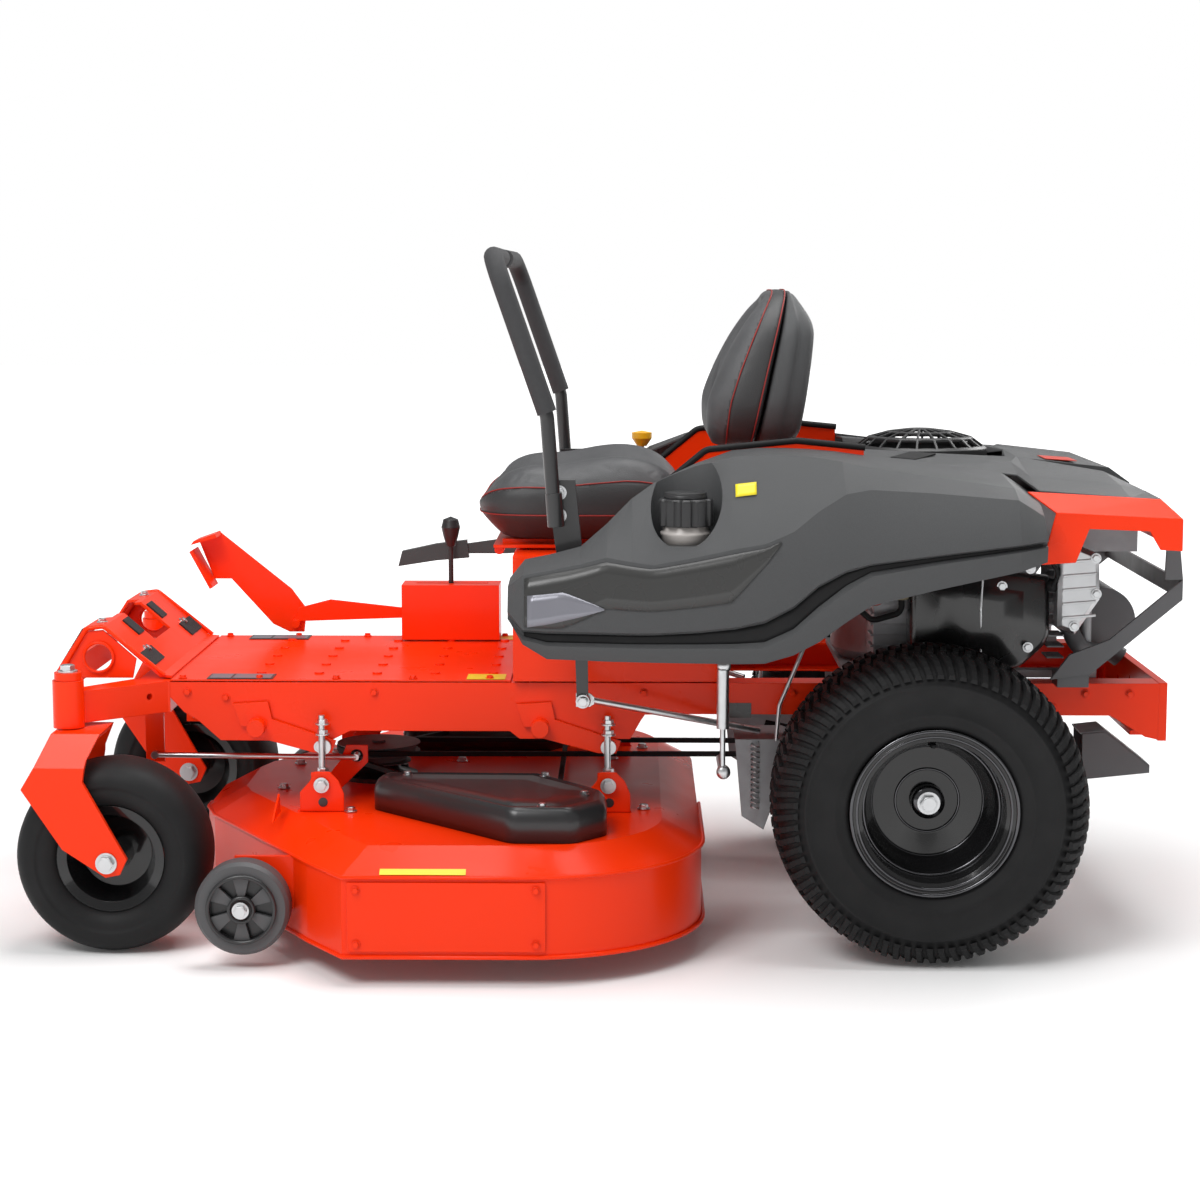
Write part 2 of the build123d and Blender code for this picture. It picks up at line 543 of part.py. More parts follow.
for name, side in SIDES.items():
    y = side * 410
    with BuildPart() as control_arm:
        slab([(-60, 520), (-36, 520), (-48, 723), (-60, 837), (-109, 837), (-95, 723)], y - 5, y + 5)
        slab([(-60, 837), (-66, 837), (-52, 723), (-48, 723)], y - side * 5, y - side * 18)
        rod((ARM_PIVOT[0], side * 302, ARM_PIVOT[1]), (ARM_PIVOT[0], side * 452, ARM_PIVOT[1]), 11)
        slab([(-59, 530), (-37, 530), (-36, 445), (-56, 445)], side * 445, side * 452)
        rod((ROD_PIN[0], side * 430, ROD_PIN[1]), (ROD_PIN[0], side * 456, ROD_PIN[1]), 6)
    save(control_arm, f"control_arm_{name}")
    with BuildPart() as control_rod:
        end = (270, side * 305, 375)
        rod((-30, side * 436, 452), end, 6)
        slab([(-58, 441), (-58, 465), (-34, 465), (-26, 458), (-26, 446), (-34, 441)], side * 434, side * 441)
        rod((ROD_PIN[0], side * 425, ROD_PIN[1]), (ROD_PIN[0], side * 445, ROD_PIN[1]), 6 + SLACK,
            Mode.SUBTRACT)
    save(control_rod, f"control_rod_{name}")
    with BuildPart() as lap_bar:
        out = side * 430
        with BuildLine() as bar_line:
            FilletPolyline((-94, out, 760), (-108, out, 950), (-203, out, 1224), (-207, side * 62, 1224),
                           radius=60)
        with BuildSketch(Plane(origin=bar_line.line @ 0, z_dir=bar_line.line % 0)):
            Circle(12.5)
        sweep(path=bar_line.line)
    save(lap_bar, f"lap_bar_{name}")

# ---------------------------------------------------------------- seat

with BuildPart() as seat_plate:
    block((-215, -190, 694), (200, 190, 700))
    for side in SIDES.values():
        block((-200, side * 150 - 10, 700), (180, side * 150 + 10, 708))
        rod((-205, side * 160 - 20, 690), (-205, side * 160 + 20, 690), 9)
save(seat_plate, "seat_plate")

with BuildPart() as seat_cushion:
    slab([(-203, 709), (-250, 765), (-238, 820), (-165, 848), (-90, 850), (-19, 862), (91, 853),
          (150, 820), (165, 760), (140, 709)],
         -240, 240)
    fillet(seat_cushion.edges().filter_by(Plane.XZ), 22)
save(seat_cushion, "seat_cushion")

with BuildPart() as seat_back:
    slab([(172, 880), (170, 967), (235, 1093), (280, 1152), (311, 1165), (325, 1160), (300, 1050), (262, 875)],
         -225, 225)
    with BuildSketch(Plane.YZ) as back_face:
        Polygon((-225, 860), (225, 860), (225, 1000), (165, 1170), (-165, 1170), (-225, 1000), align=None)
        fillet(back_face.vertices(), 30)
    extrude(back_face.sketch, amount=500, mode=Mode.INTERSECT)
save(seat_back, "seat_back")

with BuildPart() as seat_back_shell:
    slab([(262.5, 875), (300.5, 1050), (325.5, 1160), (349, 1138), (375, 1102), (366, 1021), (346, 894),
          (328, 876)],
         -205, 205)
    for side in SIDES.values():
        slab([(170, 820), (300, 876), (330, 876), (330, 850), (200, 775), (166, 775)], side * 150, side * 158)
    with BuildSketch(Plane.YZ) as shell_face:
        Polygon((-205, 700), (205, 700), (205, 1000), (150, 1170), (-150, 1170), (-205, 1000), align=None)
    extrude(shell_face.sketch, amount=500, mode=Mode.INTERSECT)
save(seat_back_shell, "seat_back_shell")

# ---------------------------------------------------------------- controls and crankshaft

with BuildPart() as fuel_cap:
    rod((131, -520, 722), (131, -520, 770), 29.5)
    with BuildSketch(Plane((131, -520, 769))) as cap_face:
        Circle(47)
        with PolarLocations(50, 10):
            Circle(8, mode=Mode.SUBTRACT)
    extrude(cap_face.sketch, amount=46)
    fillet(fuel_cap.faces().sort_by(Axis.Z)[-1].edges(), 5)
    rod((131, -520, 812), (131, -520, 825), 36)
save(fuel_cap, "fuel_cap")

with BuildPart() as pto_knob:
    rod((60, 455, 770), (60, 455, 842), 5)
    turned([(0, 840), (10, 840), (21, 856), (21, 868), (0, 872)], 60, 455)
save(pto_knob, "pto_knob")

with BuildPart() as engine_fan:
    rod((ENGINE_X, 0, 270), (ENGINE_X, 0, 846), 14)
    pulley(ENGINE_X, 0, 70, DRIVE_BELT_Z)
    rod((ENGINE_X, 0, 302), (ENGINE_X, 0, 385), 70)
    rod((ENGINE_X, 0, 846), (ENGINE_X, 0, 852), 112)
save(engine_fan, "engine_fan")
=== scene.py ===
import math

import bmesh
import bpy
from mathutils import Matrix, Vector
from mathutils.bvhtree import BVHTree
from mathutils.kdtree import KDTree


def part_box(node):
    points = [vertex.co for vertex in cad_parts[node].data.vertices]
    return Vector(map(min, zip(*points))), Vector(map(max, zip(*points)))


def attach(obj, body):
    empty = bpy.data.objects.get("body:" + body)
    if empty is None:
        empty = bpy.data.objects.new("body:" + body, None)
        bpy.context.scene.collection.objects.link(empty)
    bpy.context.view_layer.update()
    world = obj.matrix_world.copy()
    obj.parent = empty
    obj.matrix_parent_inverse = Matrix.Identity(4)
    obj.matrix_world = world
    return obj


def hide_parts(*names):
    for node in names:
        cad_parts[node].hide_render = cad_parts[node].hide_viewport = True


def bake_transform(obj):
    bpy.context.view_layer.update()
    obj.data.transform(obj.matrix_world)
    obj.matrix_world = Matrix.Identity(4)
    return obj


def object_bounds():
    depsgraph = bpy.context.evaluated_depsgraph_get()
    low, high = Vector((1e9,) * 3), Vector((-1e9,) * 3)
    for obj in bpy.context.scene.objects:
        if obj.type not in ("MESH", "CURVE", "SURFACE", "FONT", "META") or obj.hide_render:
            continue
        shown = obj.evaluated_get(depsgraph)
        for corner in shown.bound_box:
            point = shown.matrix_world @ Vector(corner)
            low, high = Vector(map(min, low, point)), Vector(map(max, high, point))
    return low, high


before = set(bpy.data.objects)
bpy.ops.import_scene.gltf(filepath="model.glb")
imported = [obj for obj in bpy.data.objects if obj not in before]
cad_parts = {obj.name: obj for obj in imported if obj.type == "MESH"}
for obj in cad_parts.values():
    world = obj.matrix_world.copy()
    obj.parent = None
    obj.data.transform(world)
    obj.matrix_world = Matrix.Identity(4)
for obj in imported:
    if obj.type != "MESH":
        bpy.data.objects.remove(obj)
cad_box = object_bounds()

# ------------------------------------------------------------------ studio
# A low, nearly square side view from the machine's left, on a pale floor that
# runs off into a white background, under a broad soft sky and three large lamps.
MIDDLE_Y = sum(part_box(f"drive_tyre_{side}")[end][1] for side in ("left", "right") for end in (0, 1)) / 4
SIDES = {"left": -1, "right": 1}

camera = bpy.data.objects.new("camera", bpy.data.cameras.new("camera"))
camera.data.lens, camera.data.sensor_width = 74.76, 36.0
camera.location = (0.057, MIDDLE_Y - 4.75, 1.1815)
camera.rotation_euler = (math.radians(82.705), 0, math.radians(0.73))
bpy.context.collection.objects.link(camera)
bpy.context.scene.camera = camera

world = bpy.data.worlds.new("soft_sky")
world.use_nodes = True
world.node_tree.nodes["Background"].inputs["Color"].default_value = (1.0, 1.0, 1.0, 1.0)
sky_light = world.node_tree.nodes["Background"]
sky_light.inputs["Strength"].default_value = 0.36
backdrop = world.node_tree.nodes.new("ShaderNodeBackground")
backdrop.inputs["Color"].default_value = (1.0, 1.0, 1.0, 1.0)
seen = world.node_tree.nodes.new("ShaderNodeLightPath")
choose = world.node_tree.nodes.new("ShaderNodeMixShader")
world.node_tree.links.new(seen.outputs["Is Camera Ray"], choose.inputs[0])
world.node_tree.links.new(sky_light.outputs[0], choose.inputs[1])
world.node_tree.links.new(backdrop.outputs[0], choose.inputs[2])
world.node_tree.links.new(choose.outputs[0], world.node_tree.nodes["World Output"].inputs[0])
bpy.context.scene.world = world
bpy.context.scene.view_settings.view_transform = "Standard"

for name, place, size, power in (("key", (-1.8, -3.2, 3.8), 2.0, 120.0),
                                 ("top", (0.5, -0.2, 4.2), 2.8, 125.0),
                                 ("rim", (2.8, 2.6, 2.6), 2.0, 60.0)):
    lamp = bpy.data.objects.new(name, bpy.data.lights.new(name, "AREA"))
    lamp.data.size, lamp.data.energy = size, power
    lamp.location = place
    lamp.rotation_euler = (Vector((0, MIDDLE_Y, 0.5)) - Vector(place)).to_track_quat("-Z", "Y").to_euler()
    bpy.context.collection.objects.link(lamp)


class Link:
    """A shader value that can be added and scaled like a number."""

    def __init__(self, tree, socket):
        self.tree, self.socket = tree, socket

    def maths(self, operation, *values):
        node = self.tree.nodes.new("ShaderNodeMath")
        node.operation = operation
        for slot, value in zip(node.inputs, values):
            if isinstance(value, Link):
                self.tree.links.new(value.socket, slot)
            else:
                slot.default_value = value
        return Link(self.tree, node.outputs[0])

    def __add__(self, other):
        return self.maths("ADD", self, other)

    __radd__ = __add__

    def __mul__(self, other):
        return self.maths("MULTIPLY", self, other)

    __rmul__ = __mul__


class Finish:
    """A material with its own node tree, built up node by node."""

    def __init__(self, name, colour, roughness, metallic=0.0, coat=0.0):
        self.material = bpy.data.materials.new(name)
        self.material.use_nodes = True
        self.tree = self.material.node_tree
        self.shader = self.tree.nodes["Principled BSDF"]
        self.shader.inputs["Base Color"].default_value = (*colour, 1.0)
        self.shader.inputs["Roughness"].default_value = roughness
        self.shader.inputs["Metallic"].default_value = metallic
        self.shader.inputs["Coat Weight"].default_value = coat
        self.shader.inputs["Coat Roughness"].default_value = 0.12
        self.place = self.node("ShaderNodeTexCoord", {}, "Object")

    def node(self, kind, settings, output, **values):
        """Any node: its settings first, then the values or links of its sockets."""
        node = self.tree.nodes.new(kind)
        for key, value in settings.items():
            setattr(node, key, value)
        for key, value in values.items():
            slot = node.inputs[int(key[1:])] if key[0] == "_" else node.inputs[key.replace("_", " ")]
            if isinstance(value, Link):
                self.tree.links.new(value.socket, slot)
            else:
                slot.default_value = value
        return Link(self.tree, node.outputs[output])

    def noise(self, scale, detail=3.0, rough=0.5):
        return self.node("ShaderNodeTexNoise", {}, "Fac", Vector=self.place, Scale=scale, Detail=detail,
                         Roughness=rough)

    def cells(self, scale, output="Distance"):
        return self.node("ShaderNodeTexVoronoi", {}, output, Vector=self.place, Scale=scale)

    def blend(self, factor, first, second):
        """A mix of two colours by a factor."""
        return self.node("ShaderNodeMix", {"data_type": "RGBA"}, 2, _0=factor, _6=(*first, 1.0),
                         _7=(*second, 1.0))

    def feed(self, name, link):
        self.tree.links.new(link.socket, self.shader.inputs[name])

    def bump(self, height, strength, distance, edge=0.0):
        """Bump from a height, over edges softened by the given radius."""
        values = {"Height": height, "Strength": strength, "Distance": distance}
        if edge:
            values["Normal"] = self.node("ShaderNodeBevel", {"samples": 4}, "Normal", Radius=edge)
        self.feed("Normal", self.node("ShaderNodeBump", {}, "Normal", **values))


floor_finish = Finish("studio_floor", (0.93, 0.93, 0.93), 0.9)
floor_finish.feed("Roughness", floor_finish.noise(3.0) * 0.1 + 0.85)
spread = floor_finish.node("ShaderNodeVectorMath", {"operation": "LENGTH"}, "Value", _0=floor_finish.place)
far = floor_finish.node("ShaderNodeMapRange", {"interpolation_type": "SMOOTHSTEP"}, "Result", Value=spread,
                        From_Min=1.2, From_Max=6.0, To_Min=0.0, To_Max=1.0)
floor_finish.feed("Emission Color", floor_finish.blend(far, (0.03, 0.03, 0.03), (1.0, 1.0, 1.0)))
floor_finish.shader.inputs["Emission Strength"].default_value = 1.0
floor_finish.shader.inputs["Specular IOR Level"].default_value = 0.0
floor_mesh = bpy.data.meshes.new("studio_floor")
floor_mesh.from_pydata([(-30, -30, 0), (30, -30, 0), (30, 30, 0), (-30, 30, 0)], [], [(0, 1, 2, 3)])
floor = bpy.data.objects.new("studio_floor", floor_mesh)
floor.data.materials.append(floor_finish.material)
bpy.context.collection.objects.link(floor)

# ------------------------------------------------------------------ painted frame and deck
# Welded steel plate and tube, powder coated orange red: a smooth, glossy skin
# with a slight ripple, paler dust in random patches and rounded edges.
ORANGE = (0.92, 0.034, 0.001)
paint = Finish("orange_powder_coat", ORANGE, 0.3, coat=0.12)
paint.shader.inputs["Specular IOR Level"].default_value = 0.14
dust = paint.noise(2.2, 5.0)
paint.feed("Base Color", paint.blend(dust * 0.3, ORANGE, (0.78, 0.040, 0.003)))
paint.feed("Roughness", paint.noise(9.0) * 0.16 + 0.22)
paint.bump(paint.noise(420.0, 2.0), 0.05, 0.0006, edge=0.0022)


def cover(finish, *nodes):
    """Give CAD nodes a material."""
    for node in nodes:
        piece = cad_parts[node]
        piece.data.materials.clear()
        piece.data.materials.append(finish.material)


cover(paint, "side_rails", "front_beam", "rear_bumper", "floor_pan", "foot_plate", "seat_box", "rear_brace",
      "quadrant_box", "deck_shell", "discharge_chute", "caster_fork_left", "caster_fork_right",
      "front_rockshaft", "rear_rockshaft", "lift_pedal", "seat_plate")

# ------------------------------------------------------------------ bare and dark metal parts
# Zinc plated rods and covers, black enamelled levers and rims, and cast
# aluminium housings with a fine sand texture.
zinc = Finish("zinc_plate", (0.60, 0.61, 0.62), 0.3, metallic=1.0)
zinc.feed("Roughness", zinc.noise(60.0, 4.0) * 0.25 + 0.2)
zinc.bump(zinc.noise(300.0), 0.08, 0.0004, edge=0.0008)
enamel = Finish("black_enamel", (0.018, 0.018, 0.019), 0.3, coat=0.3)
enamel.feed("Roughness", enamel.noise(14.0) * 0.2 + 0.22)
enamel.bump(enamel.noise(350.0), 0.06, 0.0004, edge=0.0015)
grey_enamel = Finish("grey_enamel", (0.10, 0.10, 0.105), 0.5)
grey_enamel.feed("Roughness", grey_enamel.noise(30.0) * 0.2 + 0.35)
grey_enamel.bump(grey_enamel.noise(500.0), 0.1, 0.0004, edge=0.0015)
casting = Finish("cast_aluminium", (0.30, 0.30, 0.31), 0.5, metallic=0.8)
casting.feed("Roughness", casting.noise(80.0, 5.0) * 0.3 + 0.35)
casting.bump(casting.noise(700.0, 4.0), 0.3, 0.0008, edge=0.002)
cover_metal = Finish("satin_aluminium", (0.55, 0.56, 0.57), 0.35, metallic=1.0)
cover_metal.feed("Roughness", cover_metal.noise(40.0) * 0.2 + 0.28)
cover_metal.bump(cover_metal.noise(600.0), 0.15, 0.0005, edge=0.003)
cover(zinc, "hanger_rods", "drag_links", "control_rod_left", "control_rod_right", "damper_struts")
gloss_black = Finish("gloss_black_rims", (0.008, 0.008, 0.0085), 0.14, coat=0.5)
gloss_black.shader.inputs["Specular IOR Level"].default_value = 0.3
gloss_black.feed("Roughness", gloss_black.noise(9.0) * 0.1 + 0.10)
gloss_black.bump(gloss_black.noise(24.0, 2.0), 0.02, 0.0015, edge=0.0025)
gloss_black.shader.inputs["Coat Roughness"].default_value = 0.05
cover(enamel, "brake_lever", "control_arm_left", "control_arm_right", "lap_bar_left", "lap_bar_right",
      "spindle_housings", "engine_fan")
cover(gloss_black, "caster_rim_left", "caster_rim_right", "drive_rim_left", "drive_rim_right")
cover(grey_enamel, "guard_straps", "muffler", "blade_left", "blade_centre", "blade_right")
cover(casting, "engine_block", "transaxles")
cover(cover_metal, "rocker_covers")

# ------------------------------------------------------------------ moulded plastic
# Injection moulded covers with a leather-like spark grain: mid grey body
# panels, black engine and deck covers.
grey_plastic = Finish("grey_grained_plastic", (0.085, 0.087, 0.09), 0.5)
grain = grey_plastic.cells(1400.0)
grey_plastic.feed("Base Color", grey_plastic.blend(grey_plastic.noise(900.0), (0.048, 0.049, 0.051),
                                                   (0.080, 0.082, 0.084)))
grey_plastic.shader.inputs["Specular IOR Level"].default_value = 0.3
grey_plastic.feed("Roughness", grey_plastic.noise(12.0) * 0.12 + 0.42)
grey_plastic.bump(grain, 0.5, 0.0009)
black_plastic = Finish("black_grained_plastic", (0.02, 0.02, 0.021), 0.4)
black_plastic.feed("Roughness", black_plastic.noise(10.0) * 0.15 + 0.3)
black_plastic.bump(black_plastic.cells(1200.0), 0.15, 0.0005, edge=0.003)
cover(black_plastic, "cylinder_shrouds", "spindle_covers", "screen_guard", "fuel_cap", "height_lever")
cover(grey_plastic, "air_filter_cover", "left_fender", "right_fender", "seat_back_shell")
rubber = Finish("black_rubber", (0.010, 0.010, 0.011), 0.65)
rubber.feed("Base Color", rubber.blend(rubber.noise(18.0, 5.0), (0.007, 0.007, 0.0075),
                                       (0.015, 0.015, 0.0155)))
rubber.feed("Roughness", rubber.noise(25.0) * 0.2 + 0.5)
rubber.bump(rubber.noise(260.0, 4.0), 0.15, 0.0006)
rubber.shader.inputs["Specular IOR Level"].default_value = 0.22
cover(rubber, "deck_belt", "drive_tyre_left", "drive_tyre_right", "caster_tyre_left", "caster_tyre_right",
      "scalp_wheel_left", "scalp_wheel_right")
cover(black_plastic, "seat_cushion", "seat_back")
knob = Finish("yellow_knob", (0.80, 0.42, 0.01), 0.3)
knob.feed("Roughness", knob.noise(30.0) * 0.1 + 0.25)
cover(knob, "pto_knob")

# ------------------------------------------------------------------ drive tyres
# Turf tyres: a rounded rubber carcass with raised rings on its walls and rows
# of curved tread bars moulded from the centre line out over each shoulder.


def add_piece(name, points, faces, body, finish, smooth=True):
    """A mesh piece in the part's frame, in metres, riding on a body."""
    mesh = bpy.data.meshes.new(name)
    mesh.from_pydata([tuple(point) for point in points], [], faces)
    mesh.materials.append(finish.material)
    piece = bpy.data.objects.new(name, mesh)
    bpy.context.collection.objects.link(piece)
    tidy = bmesh.new()
    tidy.from_mesh(mesh)
    bmesh.ops.remove_doubles(tidy, verts=tidy.verts, dist=1e-6)
    bmesh.ops.recalc_face_normals(tidy, faces=tidy.faces)
    tidy.to_mesh(mesh)
    tidy.free()
    for face in mesh.polygons:
        face.use_smooth = smooth
    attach(piece, body)
    return piece


def apply_modifiers(piece):
    """Turn a piece's modifiers into plain mesh."""
    graph = bpy.context.evaluated_depsgraph_get()
    mesh = bpy.data.meshes.new_from_object(piece.evaluated_get(graph))
    piece.modifiers.clear()
    piece.data = mesh
    return piece


def bevel(piece, width, segments=3, angle=25.0):
    """Round a piece's sharp edges and apply the result."""
    rounding = piece.modifiers.new("round", "BEVEL")
    rounding.width, rounding.segments = width, segments
    rounding.limit_method, rounding.angle_limit = "ANGLE", math.radians(angle)
    rounding.harden_normals = False
    return apply_modifiers(piece)


def spin_points(section, centre, steps):
    """Points and faces of a closed section of (outwards, radius) spun about a wheel's axle."""
    points, faces, count = [], [], len(section)
    for step in range(steps):
        angle = math.tau * step / steps
        for out, radius in section:
            points.append((centre[0] + radius * math.cos(angle), centre[1] + out,
                           centre[2] + radius * math.sin(angle)))
    for step in range(steps):
        for k in range(count):
            a, b = step * count + k, step * count + (k + 1) % count
            shift = count if step < steps - 1 else -(steps - 1) * count
            faces.append((a, b, b + shift, a + shift))
    return points, faces


def middle(node):
    low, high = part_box(node)
    return Vector(((low[0] + high[0]) / 2, (low[1] + high[1]) / 2, (low[2] + high[2]) / 2))


def ring_tree():
    """Geometry nodes that repeat a mesh about the Y axis."""
    tree = bpy.data.node_groups.new("ring_of", "GeometryNodeTree")
    face = tree.interface
    face.new_socket("Geometry", in_out="INPUT", socket_type="NodeSocketGeometry")
    face.new_socket("Count", in_out="INPUT", socket_type="NodeSocketInt")
    face.new_socket("Material", in_out="INPUT", socket_type="NodeSocketMaterial")
    face.new_socket("Geometry", in_out="OUTPUT", socket_type="NodeSocketGeometry")
    new, link = tree.nodes.new, tree.links.new
    entry, leave = new("NodeGroupInput"), new("NodeGroupOutput")
    points, index = new("GeometryNodePoints"), new("GeometryNodeInputIndex")
    turn, share, spot = new("ShaderNodeMath"), new("ShaderNodeMath"), new("ShaderNodeCombineXYZ")
    share.operation, turn.operation = "DIVIDE", "MULTIPLY"
    share.inputs[0].default_value = math.tau
    place, real = new("GeometryNodeInstanceOnPoints"), new("GeometryNodeRealizeInstances")
    paint_it = new("GeometryNodeSetMaterial")
    link(entry.outputs["Count"], points.inputs["Count"])
    link(entry.outputs["Count"], share.inputs[1])
    link(share.outputs[0], turn.inputs[0])
    link(index.outputs[0], turn.inputs[1])
    link(turn.outputs[0], spot.inputs["Y"])
    link(points.outputs[0], place.inputs["Points"])
    link(entry.outputs["Geometry"], place.inputs["Instance"])
    link(spot.outputs[0], place.inputs["Rotation"])
    link(place.outputs[0], real.inputs[0])
    link(real.outputs[0], paint_it.inputs["Geometry"])
    link(entry.outputs["Material"], paint_it.inputs["Material"])
    link(paint_it.outputs[0], leave.inputs[0])
    return tree


RING = ring_tree()


def repeat_round(name, points, faces, count, centre, body, finish):
    """Repeat a small mesh about an axle through the origin, then move it to its wheel."""
    piece = add_piece(name, points, faces, body, finish, smooth=False)
    ring = piece.modifiers.new("ring", "NODES")
    ring.node_group = RING
    names = {item.name: item.identifier for item in RING.interface.items_tree if item.in_out == "INPUT"}
    ring[names["Count"]] = count
    ring[names["Material"]] = finish.material
    apply_modifiers(piece)
    piece.data.transform(Matrix.Translation(centre))
    return piece


def tread_bar(path, width, depth):
    """A bar that follows a path of (out, radius, angle), tapered towards its top."""
    points, faces = [], []
    for out, radius, angle in path:
        for across, lift in ((-0.5, -depth), (-0.36, 0), (0.36, 0), (0.5, -depth)):
            turn = angle + across * width / radius
            points.append(((radius + lift) * math.sin(turn), out, (radius + lift) * math.cos(turn)))
    for k in range(len(path) - 1):
        for j in range(3):
            a = 4 * k + j
            faces.append((a, a + 1, a + 5, a + 4))
    faces += [(0, 1, 2, 3), tuple(4 * (len(path) - 1) + j for j in (3, 2, 1, 0))]
    return points, faces


TREAD_ROWS = 78
BAR_WIDTH, BAR_DEPTH = 0.0128, 0.007
CROWN_RADIUS, SHOULDER_RADIUS, SHOULDER_AT = 0.2762, 0.2708, 0.078
TYRE_HALF = [(0.0, 0.2690), (0.040, 0.2682), (0.078, 0.2640), (0.100, 0.2550), (0.112, 0.2420),
             (0.1165, 0.2250), (0.1190, 0.2240), (0.1195, 0.2200), (0.1172, 0.2180), (0.1180, 0.1950),
             (0.1165, 0.1760), (0.1180, 0.1740), (0.1180, 0.1700), (0.1150, 0.1660), (0.1130, 0.1560),
             (0.1090, 0.1480), (0.1030, 0.1450)]
for name, side in SIDES.items():
    centre = middle(f"drive_tyre_{name}")
    outline = TYRE_HALF + [(0.095, 0.150), (0.0, 0.150), (-0.095, 0.150)] + [(-out, r)
                                                                             for out, r in TYRE_HALF[:0:-1]]
    points, faces = spin_points(outline, centre, 144)
    tyre = add_piece(f"drive_tyre_carcass_{name}", points, faces, f"drive_wheel_{name}",
                     rubber)
    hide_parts(f"drive_tyre_{name}")
    bars = []
    for hand in (-1, 1):
        for row, (start, stop, lean, shift) in enumerate(((0.006, 0.050, 0.02, 0.0),
                                                          (0.056, 0.119, 0.055, 0.6))):
            path = []
            for k in range(7):
                out = start + (stop - start) * k / 6
                swing = lean * (k / 6) ** 1.5 * (1 if row else -1)
                crown = CROWN_RADIUS - 0.0022 * (out / 0.05) ** 2
                if out >= SHOULDER_AT:
                    crown = SHOULDER_RADIUS - 17.0 * (out - SHOULDER_AT) ** 2
                path.append((hand * out, crown, swing + (0.5 * (hand > 0) + shift) * math.tau / TREAD_ROWS))
            bars.append(tread_bar(path, BAR_WIDTH, BAR_DEPTH))
    lug_points = [point for bar in bars for point in bar[0]]
    lug_faces = [tuple(k + 28 * n for k in face) for n, bar in enumerate(bars) for face in bar[1]]
    repeat_round(f"drive_tyre_tread_{name}", lug_points, lug_faces, TREAD_ROWS, centre,
                 f"drive_wheel_{name}", rubber)

# ------------------------------------------------------------------ caster tyres
# Smooth ribless tyres on the small front wheels, with a moulding line round
# each wall and a bead that sits on the rim.
CASTER_HALF = [(0.0, 0.1718), (0.022, 0.1712), (0.044, 0.1678), (0.060, 0.1600), (0.0695, 0.1480),
               (0.0728, 0.1345), (0.0727, 0.1300), (0.0712, 0.1290), (0.0716, 0.1220), (0.0695, 0.1130),
               (0.0640, 0.1030), (0.0585, 0.0975), (0.050, 0.0945)]
for name, side in SIDES.items():
    centre = middle(f"caster_tyre_{name}")
    outline = CASTER_HALF + [(0.040, 0.100), (-0.040, 0.100)] + [(-out, r) for out, r in CASTER_HALF[:0:-1]]
    points, faces = spin_points(outline, centre, 96)
    tyre = add_piece(f"caster_tyre_body_{name}", points, faces, f"caster_wheel_{name}", rubber)
    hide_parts(f"caster_tyre_{name}")

# ------------------------------------------------------------------ rim details and bolts
# Hex bolts with washers hold the wheels and levers; each drive rim has
# polished edges, a centre nut and a rubber valve stem.


def bolt_tree():
    """Geometry nodes that put a hex bolt head and washer on every point, facing along its aim."""
    tree = bpy.data.node_groups.new("bolts_on", "GeometryNodeTree")
    face = tree.interface
    face.new_socket("Geometry", in_out="INPUT", socket_type="NodeSocketGeometry")
    face.new_socket("Material", in_out="INPUT", socket_type="NodeSocketMaterial")
    face.new_socket("Geometry", in_out="OUTPUT", socket_type="NodeSocketGeometry")
    new, link = tree.nodes.new, tree.links.new
    entry, leave = new("NodeGroupInput"), new("NodeGroupOutput")
    heads = new("GeometryNodeJoinGeometry")
    for sides, radius, low, high in ((24, 1.35, 0.0, 0.25), (6, 1.0, 0.25, 0.95), (16, 0.8, 0.95, 1.02)):
        drum, move = new("GeometryNodeMeshCylinder"), new("GeometryNodeTransform")
        drum.inputs["Vertices"].default_value = sides
        drum.inputs["Radius"].default_value = radius
        drum.inputs["Depth"].default_value = high - low
        move.inputs["Translation"].default_value = (0, 0, (high + low) / 2)
        link(drum.outputs["Mesh"], move.inputs["Geometry"])
        link(move.outputs[0], heads.inputs[0])
    aim, size = new("GeometryNodeInputNamedAttribute"), new("GeometryNodeInputNamedAttribute")
    aim.data_type, size.data_type = "FLOAT_VECTOR", "FLOAT"
    aim.inputs["Name"].default_value, size.inputs["Name"].default_value = "aim", "size"
    face_it = new("FunctionNodeAlignRotationToVector")
    face_it.axis = "Z"
    place, real = new("GeometryNodeInstanceOnPoints"), new("GeometryNodeRealizeInstances")
    paint_it = new("GeometryNodeSetMaterial")
    link(aim.outputs[0], face_it.inputs["Vector"])
    link(entry.outputs["Geometry"], place.inputs["Points"])
    link(heads.outputs[0], place.inputs["Instance"])
    link(face_it.outputs[0], place.inputs["Rotation"])
    link(size.outputs[0], place.inputs["Scale"])
    link(place.outputs[0], real.inputs[0])
    link(real.outputs[0], paint_it.inputs["Geometry"])
    link(entry.outputs["Material"], paint_it.inputs["Material"])
    link(paint_it.outputs[0], leave.inputs[0])
    return tree


BOLTS = bolt_tree()


def bolts(name, body, spots, finish=zinc):
    """Hex bolts at (place, direction, head radius), all on one body."""
    piece = add_piece(name, [spot[0] for spot in spots], [], body, finish)
    for key, kind, values in (("aim", "FLOAT_VECTOR", [value for spot in spots for value in spot[1]]),
                              ("size", "FLOAT", [spot[2] for spot in spots])):
        layer = piece.data.attributes.new(key, kind, "POINT")
        layer.data.foreach_set("vector" if kind == "FLOAT_VECTOR" else "value", values)
    heads = piece.modifiers.new("bolts", "NODES")
    heads.node_group = BOLTS
    names = {item.name: item.identifier for item in BOLTS.interface.items_tree if item.in_out == "INPUT"}
    heads[names["Material"]] = finish.material
    return apply_modifiers(piece)


